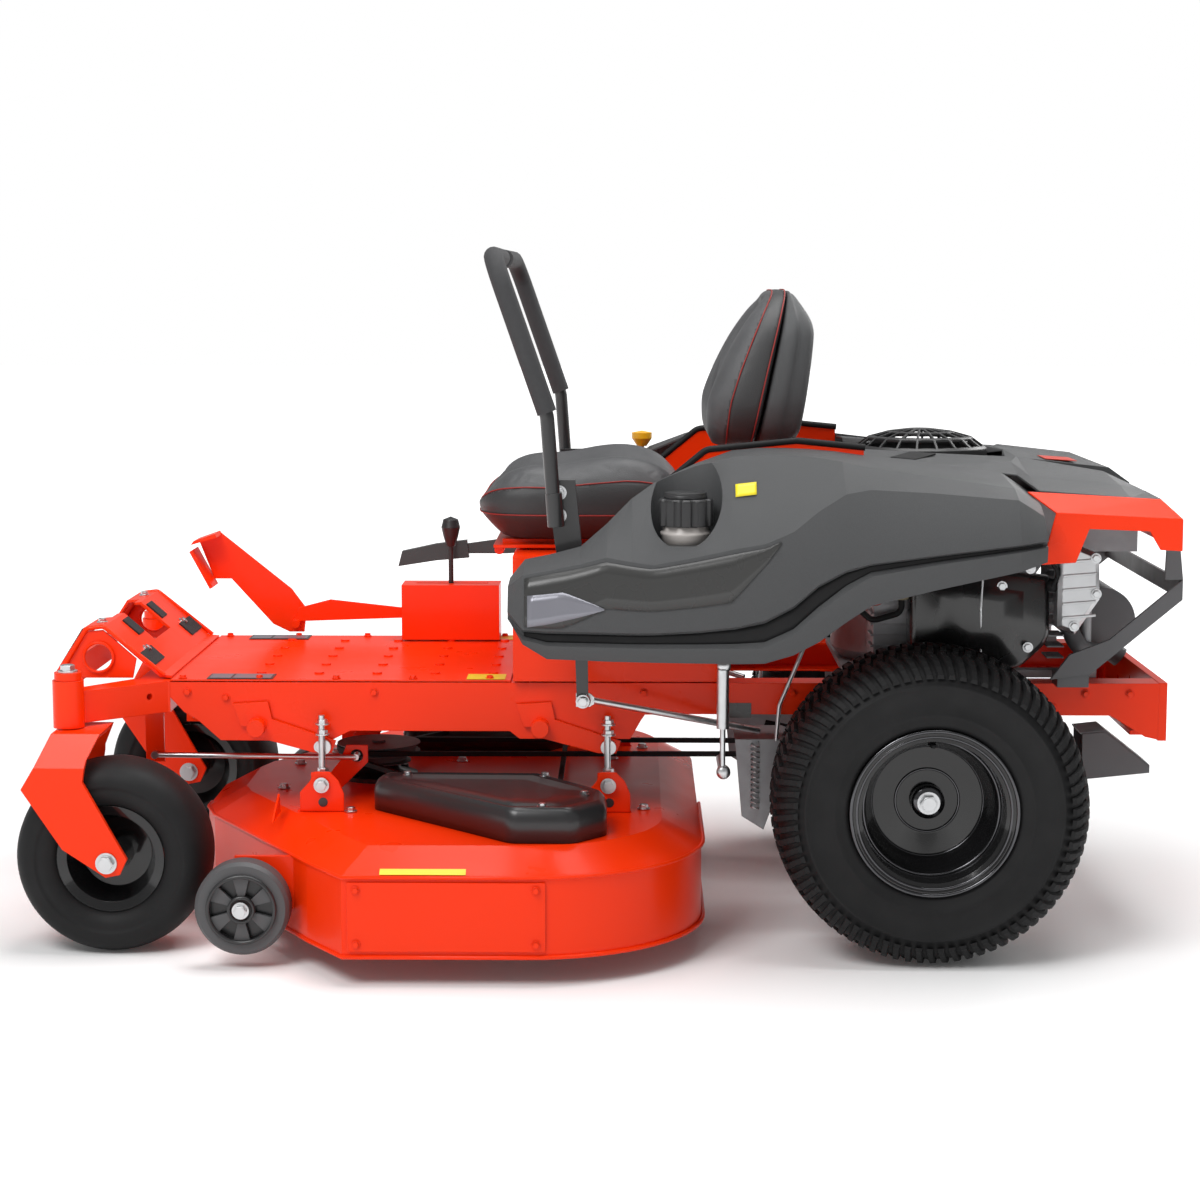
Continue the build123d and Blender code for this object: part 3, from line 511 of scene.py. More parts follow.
polished_black = Finish("polished_black_rim_edges", (0.09, 0.09, 0.095), 0.12, metallic=1.0)
polished_black.feed("Roughness", polished_black.noise(30.0) * 0.1 + 0.08)
for name, side in SIDES.items():
    hub = middle(f"drive_tyre_{name}")
    bolts(f"drive_hub_nut_{name}", f"drive_wheel_{name}",
          [(hub + Vector((0, side * 0.020, 0)), (0, side, 0), 0.015)])
    for part, reach, ring_radius, thick in (("lip", 0.1125, 0.1435, 0.0035),
                                            ("step", 0.1080, 0.1335, 0.0030),
                                            ("well", 0.0620, 0.1185, 0.0030),
                                            ("dish", 0.0010, 0.0990, 0.0030),
                                            ("disc", -0.0045, 0.0560, 0.0022)):
        round_bead = [(side * reach + thick * math.sin(turn), ring_radius + thick * math.cos(turn))
                      for turn in [math.tau * k / 10 for k in range(10)]]
        points, faces = spin_points(round_bead, hub, 96)
        add_piece(f"drive_rim_{part}_{name}", points, faces, f"drive_wheel_{name}",
                  polished_black)
    points, faces = spin_points([(side * out, radius)
                                 for out, radius in ((0.0, 0.0), (0.0, 0.030), (0.016, 0.029),
                                                     (0.020, 0.026), (0.020, 0.0))], hub, 48)
    add_piece(f"drive_hub_boss_{name}", points, faces, f"drive_wheel_{name}", polished_black)
    valve, valve_faces = spin_points([(0.0, 0.0), (0.0, 0.007), (side * 0.020, 0.006), (side * 0.032, 0.004),
                                      (side * 0.034, 0.0)], hub + Vector((0, side * 0.050, 0.112)), 12)
    add_piece(f"drive_valve_{name}", valve, valve_faces, f"drive_wheel_{name}", rubber)
    axle = middle(f"caster_tyre_{name}")
    bolts(f"caster_axle_bolts_{name}", f"caster_fork_{name}",
          [(axle + Vector((0, end * 0.0898, 0)), (0, end, 0), 0.014) for end in (-1, 1)])
    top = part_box(f"caster_fork_{name}")[1][2]
    pivot_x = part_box("front_beam")[0][0] + 0.0275
    bolts(f"caster_pivot_nut_{name}", f"caster_fork_{name}", [((pivot_x, axle[1], top), (0, 0, 1), 0.013)])
    wheel = middle(f"scalp_wheel_{name}")
    bolts(f"scalp_axle_bolt_{name}", "deck", [(wheel + Vector((0, side * 0.033, 0)), (0, side, 0), 0.011)])
    arm_low, arm_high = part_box(f"control_arm_{name}")
    arm_y = MIDDLE_Y + side * 0.415
    bolts(f"lap_bar_bolts_{name}", f"control_arm_{name}",
          [((arm_low[0] + 0.022, arm_y, arm_high[2] - down), (0, side, 0), 0.0095)
           for down in (0.022, 0.062)])
    bolts(f"control_pin_bolt_{name}", f"control_arm_{name}",
          [((arm_high[0] - 0.010, MIDDLE_Y + side * 0.4565, 0.453), (0, side, 0), 0.009)])
    bolts(f"lift_pins_{name}", "front_rockshaft",
          [((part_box("hanger_rods")[0][0] + 0.006, MIDDLE_Y + side * 0.299, 0.342), (0, side, 0), 0.008)])

# ------------------------------------------------------------------ fenders
# One large moulding over each drive wheel: a folded lip round the wheel arch,
# a deep groove, a flat outer face and faceted tops.  The left one is the fuel
# tank's cover, with a round well for the filler neck and cap.
CENTRE_X = (cad_box[0][0] + cad_box[1][0]) / 2 + 0.018
FENDER_RIBS = [  # x, then (distance from the centre plane, height) from the lip up and over, in mm
    (-172, [(560, 612), (580, 615), (576, 619), (576, 623), (584, 628), (566, 668), (486, 674), (434, 670)]),
    (-146, [(597, 574), (600, 582), (588, 588), (588, 594), (602, 600), (588, 690), (484, 706), (432, 700)]),
    (-105, [(597, 549), (600, 572), (588, 577), (588, 591), (602, 597), (591, 698), (482, 714), (432, 708)]),
    (-50, [(597, 547), (600, 570), (588, 576), (588, 590), (602, 596), (592, 709), (480, 728), (432, 720)]),
    (-5, [(597, 545), (600, 569), (588, 575), (588, 589), (602, 595), (592, 721), (484, 768), (432, 758)]),
    (38, [(597, 544), (600, 568), (588, 574), (588, 588), (602, 594), (593, 713), (490, 812), (432, 806)]),
    (75, [(597, 543), (600, 567), (588, 574), (588, 588), (602, 594), (593, 708), (486, 838), (432, 832)]),
    (150, [(597, 542), (600, 567), (588, 574), (588, 592), (602, 598), (593, 722), (480, 866), (400, 866)]),
    (215, [(597, 541), (600, 567), (588, 575), (588, 599), (602, 605), (593, 736), (474, 882), (334, 884)]),
    (262, [(597, 542), (600, 568), (588, 578), (588, 609), (602, 616), (593, 744), (474, 886), (328, 888)]),
    (310, [(597, 556), (600, 590), (588, 600), (588, 634), (602, 641), (588, 764), (478, 885), (326, 888)]),
    (352, [(597, 578), (600, 628), (588, 638), (588, 670), (602, 677), (582, 798), (482, 882), (326, 886)]),
    (398, [(597, 612), (600, 664), (588, 674), (588, 695), (602, 701), (572, 826), (488, 875), (326, 882)]),
    (440, [(597, 640), (600, 690), (588, 697), (588, 707), (602, 712), (564, 833), (492, 866), (326, 876)]),
    (545, [(597, 666), (600, 709), (588, 714), (588, 721), (602, 726), (561, 827), (500, 851), (326, 864)]),
    (690, [(597, 698), (600, 731), (588, 735), (588, 739), (602, 744), (560, 815), (508, 831), (328, 846)]),
    (736, [(584, 713), (588, 738), (578, 741), (578, 745), (590, 750), (542, 786), (500, 802), (334, 816)])]
FENDER_WALL = 0.006
WELL = (131, 520, 738, 61)             # filler well: x, distance out, floor height, radius


def measured(side, x, out, z):
    """A place from the machine's centre plane, in mm."""
    return (CENTRE_X + x / 1000, MIDDLE_Y + side * out / 1000, z / 1000)


def places(side, *spots):
    """A list of places on one side of the machine, in mm."""
    return [measured(side, *spot) for spot in spots]


def fender_shell(name, side, drop):
    """The closed outer shape of a fender, or with drop the space inside it."""
    points, faces, count = [], [], len(FENDER_RIBS[0][1]) + 1
    last = len(FENDER_RIBS) - 1
    for row, (x, rib) in enumerate(FENDER_RIBS):
        inner = rib[-1][0]
        loop = rib + [(inner, rib[0][1])]
        if drop:
            x += 6 if row == 0 else (-6 if row == last else 0)
            sunk = [40, 0, 0, 0, 0, 6, 6, 6]
            loop = [(out - 6, high - down) for (out, high), down in zip(rib, sunk)]
            loop[-1] = (inner - 20, rib[-1][1] - 6)
            loop.append((inner - 20, rib[0][1] - 40))
        points += [measured(side, x, out, high) for out, high in loop]
    for row in range(last):
        for k in range(count):
            a, b = row * count + k, row * count + (k + 1) % count
            faces.append((a, b, b + count, a + count))
    faces += [tuple(range(count)), tuple(last * count + k for k in reversed(range(count)))]
    return add_piece(name, points, faces, "chassis", grey_plastic)


def drum(name, centre, radius, low, high, sides=64):
    """A plain closed drum, used to cut wells and holes."""
    mesh = bpy.data.meshes.new(name)
    build = bmesh.new()
    bmesh.ops.create_cone(build, cap_ends=True, segments=sides, radius1=radius, radius2=radius,
                          depth=high - low, matrix=Matrix.Translation((centre[0], centre[1],
                                                                       (low + high) / 2)))
    build.to_mesh(mesh)
    build.free()
    piece = bpy.data.objects.new(name, mesh)
    bpy.context.collection.objects.link(piece)
    return piece


def cut(piece, tool):
    """Take one closed mesh out of another, and remove it."""
    bite = piece.modifiers.new("cut", "BOOLEAN")
    bite.operation, bite.solver, bite.object = "DIFFERENCE", "EXACT", tool
    apply_modifiers(piece)
    bpy.data.objects.remove(tool)
    return piece


for name, side in SIDES.items():
    outer, hollow = fender_shell(f"{name}_fender_skin", side, False), fender_shell("hollow", side, True)
    if name == "left":
        at = (CENTRE_X + WELL[0] / 1000, MIDDLE_Y + side * WELL[1] / 1000)
        cut(outer, drum("well", at, WELL[3] / 1000, WELL[2] / 1000, 1.0))
        cut(hollow, drum("well_wall", at, WELL[3] / 1000 + FENDER_WALL, WELL[2] / 1000 - FENDER_WALL, 1.0))
    cut(outer, hollow)
    for face in outer.data.polygons:
        face.use_smooth = True
    bevel(outer, 0.0035, 2, 14.0)
    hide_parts(f"{name}_fender")

# ------------------------------------------------------------------ filler neck
# A pale blow moulded neck rises from the well and carries the cap's thread;
# the cap itself has a domed black top.
cap_low, cap_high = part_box("fuel_cap")
neck_at = ((cap_low[0] + cap_high[0]) / 2, (cap_low[1] + cap_high[1]) / 2)
clear_plastic = Finish("pale_neck_plastic", (0.45, 0.42, 0.40), 0.35)
clear_plastic.feed("Roughness", clear_plastic.noise(20.0) * 0.2 + 0.25)


def turned_piece(name, profile, centre, steps, body, finish):
    """A profile of (radius, height) turned about an upright axis."""
    points, faces, count = [], [], len(profile)
    for step in range(steps):
        angle = math.tau * step / steps
        points += [(centre[0] + r * math.cos(angle), centre[1] + r * math.sin(angle), z) for r, z in profile]
    for step in range(steps):
        after = (step + 1) % steps
        faces += [(step * count + k, step * count + k + 1, after * count + k + 1, after * count + k)
                  for k in range(count - 1)]
    return add_piece(name, points, faces, body, finish)


turned_piece("filler_neck", [(0.0305, 0.735), (0.041, 0.735), (0.041, 0.752), (0.043, 0.754),
                             (0.043, 0.758), (0.039, 0.760), (0.039, 0.768), (0.0305, 0.768),
                             (0.0305, 0.735)], neck_at, 48, "chassis", clear_plastic)
turned_piece("fuel_cap_dome", [(0.0, 0.8265), (0.026, 0.8262), (0.033, 0.8245), (0.0365, 0.8205),
                               (0.0375, 0.8140), (0.0, 0.8140)], neck_at, 64, "fuel_cap",
             black_plastic)

# ------------------------------------------------------------------ blank panels and labels
# Stick-on vinyl panels with nothing printed on them: a dark one with a silver
# nose and a yellow label on each fender, and a black strip in its groove.
decal = Finish("dark_vinyl_panel", (0.035, 0.035, 0.034), 0.3)
decal.feed("Roughness", decal.noise(15.0) * 0.12 + 0.22)
silver_decal = Finish("silver_vinyl_panel", (0.22, 0.22, 0.25), 0.3, metallic=0.4)
silver_decal.feed("Roughness", silver_decal.noise(15.0) * 0.12 + 0.25)
yellow_decal = Finish("yellow_vinyl_label", (0.80, 0.66, 0.02), 0.35)
yellow_decal.feed("Roughness", yellow_decal.noise(15.0) * 0.12 + 0.3)


def fender_point(side, x, share, lift=0.0016, low=4):
    """A point on the fender between rib points low and low + 1, share of the way up, just off the skin."""
    for (x0, rib0), (x1, rib1) in zip(FENDER_RIBS, FENDER_RIBS[1:]):
        if x0 <= x <= x1:
            mix = (x - x0) / (x1 - x0)
            ends = [[rib[low][k] * (1 - share) + rib[low + 1][k] * share for k in (0, 1)]
                    for rib in (rib0, rib1)]
            out, high = [a * (1 - mix) + b * mix for a, b in zip(*ends)]
            return measured(side, x, out + lift * 1000, high)


def fender_sticker(name, side, stations, finish, lift=0.0016, low=4):
    """A sticker that follows the fender's face, from (x, bottom share, top share) stations."""
    points, faces, across = [], [], 4
    for x, bottom, top in stations:
        points += [fender_point(side, x, bottom + (top - bottom) * k / across, lift, low)
                   for k in range(across + 1)]
    for row in range(len(stations) - 1):
        faces += [(row * (across + 1) + k, row * (across + 1) + k + 1, (row + 1) * (across + 1) + k + 1,
                   (row + 1) * (across + 1) + k) for k in range(across)]
    piece = add_piece(name, points, faces, "chassis", finish)
    thick = piece.modifiers.new("thick", "SOLIDIFY")
    thick.thickness, thick.offset = 0.0006, 0
    return apply_modifiers(piece)


for name, side in SIDES.items():
    fender_sticker(f"{name}_side_panel_sticker", side,
                   [(x, 0.05, 0.94) for x in range(-143, -80, 9)]
                   + [(x, 0.05 + 0.27 * (x + 80) / 75, 0.94) for x in range(-80, -5, 15)]
                   + [(x, 0.32, 0.94) for x in range(-5, 205, 15)]
                   + [(x, 0.32 + 0.6 * (x - 205) / 85, 0.94) for x in range(205, 291, 12)], decal, 0.0018)
    fender_sticker(f"{name}_silver_sticker", side,
                   [(x, 0.05 + 0.25 * max(0, x + 138) / 130, 0.62 - 0.30 * max(0, x + 78) / 70)
                    for x in range(-138, -5, 10)], silver_decal, 0.0032)
    fender_sticker(f"{name}_yellow_label", side, [(x, 0.56, 0.70) for x in range(214, 252, 6)],
                   yellow_decal, 0.0018, 5)
    fender_sticker(f"{name}_groove_trim", side, [(x, 0.0, 1.0) for x in range(-144, 734, 8)], rubber,
                   0.0012, 2)

# ------------------------------------------------------------------ lap bars' grips
# Each steering lever is a bent steel tube with a soft foam sleeve from above
# the bracket round to its inner end.
foam = Finish("foam_grip", (0.035, 0.035, 0.037), 0.8)
foam.feed("Roughness", foam.noise(120.0) * 0.15 + 0.7)
foam.bump(foam.cells(900.0), 0.3, 0.0008)


def tube(name, route, radius, body, finish, ends=True, rings=16):
    """A round tube along a smooth route."""
    curve = bpy.data.curves.new(name, "CURVE")
    curve.dimensions = "3D"
    curve.bevel_depth, curve.bevel_resolution = radius, rings // 4
    curve.use_fill_caps = ends
    line = curve.splines.new("POLY")
    line.points.add(len(route) - 1)
    for point, place in zip(line.points, route):
        point.co = (*place, 1.0)
    source = bpy.data.objects.new(name + "_line", curve)
    bpy.context.collection.objects.link(source)
    mesh = bpy.data.meshes.new_from_object(source.evaluated_get(bpy.context.evaluated_depsgraph_get()))
    bpy.data.objects.remove(source)
    mesh.materials.clear()
    mesh.materials.append(finish.material)
    piece = bpy.data.objects.new(name, mesh)
    bpy.context.collection.objects.link(piece)
    for face in mesh.polygons:
        face.use_smooth = True
    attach(piece, body)
    return piece


def rounded_route(corners, radius, steps=10):
    """A route through corners, each turned on an arc of the given radius."""
    corners = [Vector(corner) for corner in corners]
    route = [corners[0]]
    for before, corner, after in zip(corners, corners[1:], corners[2:]):
        into, away = (before - corner).normalized(), (after - corner).normalized()
        half = into.angle(away) / 2
        reach = min(radius / math.tan(half), 0.45 * min((before - corner).length, (after - corner).length))
        size = reach * math.tan(half)
        hub = corner + (into + away).normalized() * (size / math.sin(half))
        start, stop = corner + into * reach - hub, corner + away * reach - hub
        route += [hub + start.normalized().slerp(stop.normalized(), k / steps) * start.length
                  for k in range(steps + 1)]
    return route + [corners[-1]]


for name, side in SIDES.items():
    grip = rounded_route(places(side, (-109.6, 430, 955), (-203, 430, 1224), (-207, 64, 1224)), 0.060, 14)
    tube(f"lap_bar_grip_{name}", grip, 0.0172, f"lap_bar_{name}", foam, rings=24)
    collar = rounded_route(places(side, (-94, 430, 757), (-98.5, 430, 815)), 0.01)
    tube(f"lap_bar_collar_{name}", collar, 0.0150, f"lap_bar_{name}", enamel)

# ------------------------------------------------------------------ seat
# A moulded foam seat under grained vinyl: a dished top with raised side rolls,
# a darker side band, and red piping sewn into the seams.  The back has the
# same rolls and a hard plastic shell behind it.
vinyl = Finish("grey_seat_vinyl", (0.085, 0.086, 0.09), 0.5)
vinyl.feed("Base Color", vinyl.blend(vinyl.noise(40.0, 5.0), (0.050, 0.051, 0.054), (0.078, 0.079, 0.082)))
vinyl.feed("Roughness", vinyl.noise(30.0) * 0.15 + 0.42)
vinyl.bump(vinyl.cells(520.0) * 0.6 + vinyl.noise(90.0, 4.0) * 0.5, 0.35, 0.0012)
side_vinyl = Finish("dark_seat_vinyl", (0.028, 0.028, 0.029), 0.5)
side_vinyl.feed("Roughness", side_vinyl.noise(30.0) * 0.15 + 0.42)
side_vinyl.bump(side_vinyl.cells(520.0) * 0.6 + side_vinyl.noise(90.0, 4.0) * 0.5, 0.35, 0.0012)
piping = Finish("red_piping", (0.26, 0.012, 0.008), 0.5)
piping.feed("Roughness", piping.noise(200.0) * 0.2 + 0.4)
SEAT_STEPS = 72


def along(curve, at, soft=9.0):
    """A value read from a list of (position, value), its corners rounded over a distance."""
    total = 0.0
    for shift in (-2, -1, 0, 1, 2):
        spot = min(max(at + shift * soft, curve[0][0]), curve[-1][0])
        for (a, low), (b, high) in zip(curve, curve[1:]):
            if a <= spot <= b:
                total += low + (high - low) * (spot - a) / (b - a)
                break
    return total / 5


def squircle(half_x, half_y, step, power=4.5):
    """A point on a rounded rectangle."""
    angle = math.tau * step / SEAT_STEPS
    c, s = math.cos(angle), math.sin(angle)
    return (half_x * math.copysign(abs(c) ** (2 / power), c),
            half_y * math.copysign(abs(s) ** (2 / power), s))


def stack(name, rings, body, finishes, bands):
    """Join rings of points into a closed shell; bands gives each ring gap's finish."""
    points = [point for ring in rings for point in ring]
    faces, kinds, count = [], [], len(rings[0])
    for row in range(len(rings) - 1):
        for k in range(count):
            faces.append((row * count + k, row * count + (k + 1) % count, (row + 1) * count + (k + 1) % count,
                          (row + 1) * count + k))
            kinds.append(bands[row])
    for row, kind in ((0, bands[0]), (len(rings) - 1, bands[-1])):
        hub = Vector([sum(point[k] for point in rings[row]) / count for k in range(3)])
        points.append(hub)
        faces += [(row * count + k, row * count + (k + 1) % count, len(points) - 1) for k in range(count)]
        kinds += [kind] * count
    mesh = bpy.data.meshes.new(name)
    mesh.from_pydata([tuple(point) for point in points], [], faces)
    for finish in finishes:
        mesh.materials.append(finish.material)
    for face, kind in zip(mesh.polygons, kinds):
        face.material_index, face.use_smooth = kind, True
    piece = bpy.data.objects.new(name, mesh)
    bpy.context.collection.objects.link(piece)
    build = bmesh.new()
    build.from_mesh(mesh)
    bmesh.ops.recalc_face_normals(build, faces=build.faces)
    build.to_mesh(mesh)
    build.free()
    smooth = piece.modifiers.new("smooth", "SUBSURF")
    smooth.levels = smooth.render_levels = 1
    apply_modifiers(piece)
    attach(piece, body)
    return piece


CUSHION_TOP = [(-250, 812), (-215, 838), (-165, 847), (-100, 845), (-60, 850), (-10, 865), (60, 862),
               (110, 846), (165, 800)]


def cushion_ring(inset, level, lift):
    """A ring of the cushion: inset from its widest outline, at a height that follows the rolls by lift."""
    ring = []
    for step in range(SEAT_STEPS):
        dx, dy = squircle(207 - inset, 236 - inset, step)
        x = dx - 42
        roll = along([(90, 0.0), (190, 1.0)], abs(dy))
        crest = along(CUSHION_TOP, x) - 26 * (1 - roll) * lift
        z = level + (crest - 845) * lift
        ring.append(measured(1, x, dy, z))
    return ring


def stuff(piece, seams, cap, voxel=0.006, reach=0.009):
    """Swell a foam cover by a cloth simulation with inner pressure, held along its seams and underside."""
    before = bmesh.new()
    before.from_mesh(piece.data)
    skin = BVHTree.FromBMesh(before)
    kinds, coverings = [face.material_index for face in piece.data.polygons], list(piece.data.materials)
    remesh = piece.modifiers.new("even", "REMESH")
    remesh.mode, remesh.voxel_size = "VOXEL", voxel
    apply_modifiers(piece)
    piece.data.materials.clear()
    for covering in coverings:
        piece.data.materials.append(covering)
    stitches = KDTree(sum(len(seam) for seam in seams))
    for place in [Vector(place) for seam in seams for place in seam]:
        stitches.insert(place, 0)
    stitches.balance()
    start = [vertex.co.copy() for vertex in piece.data.vertices]
    floor_level = min(place.z for place in start) + 0.012
    held = piece.vertex_groups.new(name="held")
    held.add([k for k, place in enumerate(start)
              if stitches.find(place)[2] < reach or place.z < floor_level], 1.0, "REPLACE")
    cloth = piece.modifiers.new("cloth", "CLOTH")
    cloth.settings.use_pressure, cloth.settings.uniform_pressure_force = True, 4.0
    cloth.settings.effector_weights.gravity = 0.0
    cloth.settings.vertex_group_mass = "held"
    for number in range(1, 21):
        bpy.context.scene.frame_set(number)
    swollen = piece.evaluated_get(bpy.context.evaluated_depsgraph_get()).to_mesh()
    ends = [vertex.co.copy() for vertex in swollen.vertices]
    piece.modifiers.clear()
    bpy.context.scene.frame_set(1)
    for vertex, origin, end in zip(piece.data.vertices, start, ends):
        push = end - origin
        vertex.co = origin + push * min(1.0, cap / max(push.length, 1e-9))
    for face in piece.data.polygons:
        face.material_index = kinds[skin.find_nearest(face.center)[2]]
        face.use_smooth = True
    finer = piece.modifiers.new("finer", "SUBSURF")
    finer.levels = finer.render_levels = 1
    apply_modifiers(piece)
    before.free()


def piping_loop(name, ring, body):
    """Piping sewn round a seam."""
    return tube(name, ring + ring[:1], 0.0013, body, piping, ends=False, rings=8)


rings = [cushion_ring(inset, level, lift) for inset, level, lift in ((52, 709, 0), (44, 710, 0),
                                                                     (26, 728, 0), (6, 752, 0), (3, 757, 0),
                                                                     (4, 759, 0), (-1, 775, 0.2),
                                                                     (0, 796, 0.5), (5, 806, 0.7),
                                                                     (8, 808, 0.7), (12, 822, 0.9),
                                                                     (26, 838, 1), (44, 846, 1),
                                                                     (70, 843, 1), (110, 838, 1),
                                                                     (160, 836, 1))]
cushion = stack("seat_cushion_cover", rings, "seat", [vinyl, side_vinyl],
                [1, 1, 1, 1, 1, 1, 1, 1, 0, 0, 0, 0, 0, 0, 0])
stuff(cushion, [cushion_ring(5, 808, 0.7), cushion_ring(2, 758, 0)], 0.006)
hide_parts("seat_cushion")
piping_loop("cushion_piping_top", cushion_ring(5, 808, 0.7), "seat")
piping_loop("cushion_piping_low", cushion_ring(2, 758, 0), "seat")

BACK_FRONT = [(872, 176), (900, 171), (967, 173), (1040, 205), (1093, 234), (1140, 262), (1166, 284)]
BACK_REAR = [(872, 261), (1050, 299), (1168, 326)]
SHELL_REAR = [(872, 328), (894, 346), (1021, 366), (1102, 374), (1138, 350), (1168, 332)]


def back_ring(inset, share, rear, front, dish=0.0):
    """A ring of the seat back: inset from its outline, share of the way from its rear to its front."""
    ring = []
    for step in range(SEAT_STEPS):
        dy, dz = squircle(1.0, 146 - inset * 0.35, step, 5.0)
        z = 1020 + dz
        width = along([(874, 212), (980, 224), (1090, 200), (1168, 150)], z) - inset
        y = dy * width
        hollow = dish * (1 - along([(70, 0.0), (165, 1.0)], abs(y)))
        x = along(rear, z) * (1 - share) + along(front, z) * share + hollow
        ring.append(measured(1, x, y, z))
    return ring


rings = [back_ring(*values, BACK_REAR, BACK_FRONT) for values in ((60, 0.0), (12, 0.0), (2, 0.06), (0, 0.12),
                                                                 (-1, 0.35), (2, 0.58), (5, 0.60))]
rings += [back_ring(inset, share, BACK_REAR, BACK_FRONT, dish) for inset, share, dish in (
    (12, 0.80, 0), (24, 0.93, 4), (42, 1.0, 12), (66, 0.99, 22), (100, 0.97, 26))]
back = stack("seat_back_cover", rings, "seat", [vinyl, side_vinyl],
             [1, 1, 1, 1, 1, 1, 0, 0, 0, 0, 0])
stuff(back, [back_ring(3, 0.59, BACK_REAR, BACK_FRONT), back_ring(1, 0.09, BACK_REAR, BACK_FRONT)], 0.006)
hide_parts("seat_back")
piping_loop("back_piping_front", back_ring(3, 0.59, BACK_REAR, BACK_FRONT), "seat")
piping_loop("back_piping_rear", back_ring(1, 0.09, BACK_REAR, BACK_FRONT), "seat")
rings = [back_ring(inset, share, BACK_REAR, SHELL_REAR)
         for inset, share in ((14, 0.03), (10, 0.05), (6, 0.25), (8, 0.5), (16, 0.52), (20, 0.8),
                              (30, 0.97), (46, 1.0), (52, 0.9), (90, 0.9))]
shell = stack("seat_back_moulding", rings, "seat", [grey_plastic], [0] * 9)
BACK_ARM = [(120, 703), (184, 703), (212, 776), (336, 852), (330, 905), (300, 905), (300, 868), (172, 812),
            (150, 740)]
for name, side in SIDES.items():
    count = len(BACK_ARM)
    points = [measured(side, x, out, z) for out in (150, 158) for x, z in BACK_ARM]
    faces = [tuple(range(count)), tuple(range(2 * count - 1, count - 1, -1))]
    faces += [(k, (k + 1) % count, count + (k + 1) % count, count + k) for k in range(count)]
    bevel(add_piece(f"seat_back_arm_{name}", points, faces, "seat", enamel, smooth=False),
          0.002, 2)
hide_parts("seat_back_shell")

# ------------------------------------------------------------------ rear brace
# A folded orange band that wraps the rear of the engine, with sloped top faces
# and points that lap over the ends of the fenders.


def sheet_of(name, faces_of_points, thickness, body, finish, round_to=0.0015):
    """Folded sheet metal: flat faces sharing corners, given a wall thickness."""
    points, faces = [], []
    for face in faces_of_points:
        faces.append(tuple(range(len(points), len(points) + len(face))))
        points += face
    piece = add_piece(name, points, faces, body, finish, smooth=False)
    wall = piece.modifiers.new("wall", "SOLIDIFY")
    wall.thickness, wall.offset, wall.use_even_offset = thickness, 0, True
    apply_modifiers(piece)
    return bevel(piece, round_to, 2, 20) if round_to else piece


BRACE_PANELS = [  # each face's corners: x, distance from the centre plane, height
    [(764, 490, 787), (741, 490, 698), (800, 490, 702), (822, 490, 760)],
    [(764, 490, 787), (822, 490, 760), (925, 490, 756), (944, 490, 724), (980, 490, 722), (980, 490, 776)],
    [(764, 490, 787), (980, 490, 776), (952, 440, 806), (722, 440, 819)],
    [(980, 490, 776), (980, 0, 776), (952, 0, 806), (952, 440, 806)],
    [(980, 490, 722), (980, 0, 722), (980, 0, 776), (980, 490, 776)]]
brace_faces = [places(side, *panel) for side in SIDES.values() for panel in BRACE_PANELS]
brace = sheet_of("rear_brace_band", brace_faces, 0.004, "chassis", paint)
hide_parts("rear_brace")

# ------------------------------------------------------------------ engine cover panels
# Between the fenders a grey moulded hood falls away behind the engine's
# cooling screen, with two dark vents, and orange side panels close the gaps
# beside the seat under a black rubber trim.
panel_faces = [places(side, (60, 318, 700), (450, 318, 700), (450, 318, 884), (330, 318, 896),
                      (170, 318, 880), (60, 318, 790)) for side in SIDES.values()]
sheet_of("orange_side_panels", panel_faces, 0.004, "chassis", paint, 0.001)
for name, side in SIDES.items():
    route = rounded_route(places(side, (58, 318, 792), (170, 318, 884), (330, 318, 900), (452, 318, 888)),
                          0.03)
    tube(f"{name}_panel_trim", route, 0.006, "chassis", rubber)
hood_rows = [  # x, then (distance out, height) from the fender inwards
    (452, [(322, 868), (240, 872), (165, 874), (150, 846)]),
    (590, [(322, 855), (250, 862), (165, 866), (150, 846)]),
    (722, [(322, 838), (240, 856), (165, 860), (150, 846)]),
    (742, [(440, 820), (322, 838), (165, 860), (0, 862)]),
    (900, [(440, 808), (330, 822), (200, 834), (0, 836)]),
    (954, [(440, 806), (330, 808), (200, 809), (0, 809)])]
for name, side in SIDES.items():
    faces = []
    for (x0, row0), (x1, row1) in zip(hood_rows, hood_rows[1:]):
        for (a, b), (c, d) in zip(zip(row0, row0[1:]), zip(row1, row1[1:])):
            faces.append([measured(side, x0, *a), measured(side, x1, *c), measured(side, x1, *d),
                          measured(side, x0, *b)])
    hood = sheet_of(f"engine_hood_{name}", faces, 0.004, "chassis", grey_plastic, 0.002)
    for face in hood.data.polygons:
        face.use_smooth = False
    sheet_of(f"hood_vent_{name}", [places(side, (500, 290, 868), (545, 290, 864), (590, 215, 869),
                                          (545, 215, 873))], 0.003, "chassis", rubber, 0)

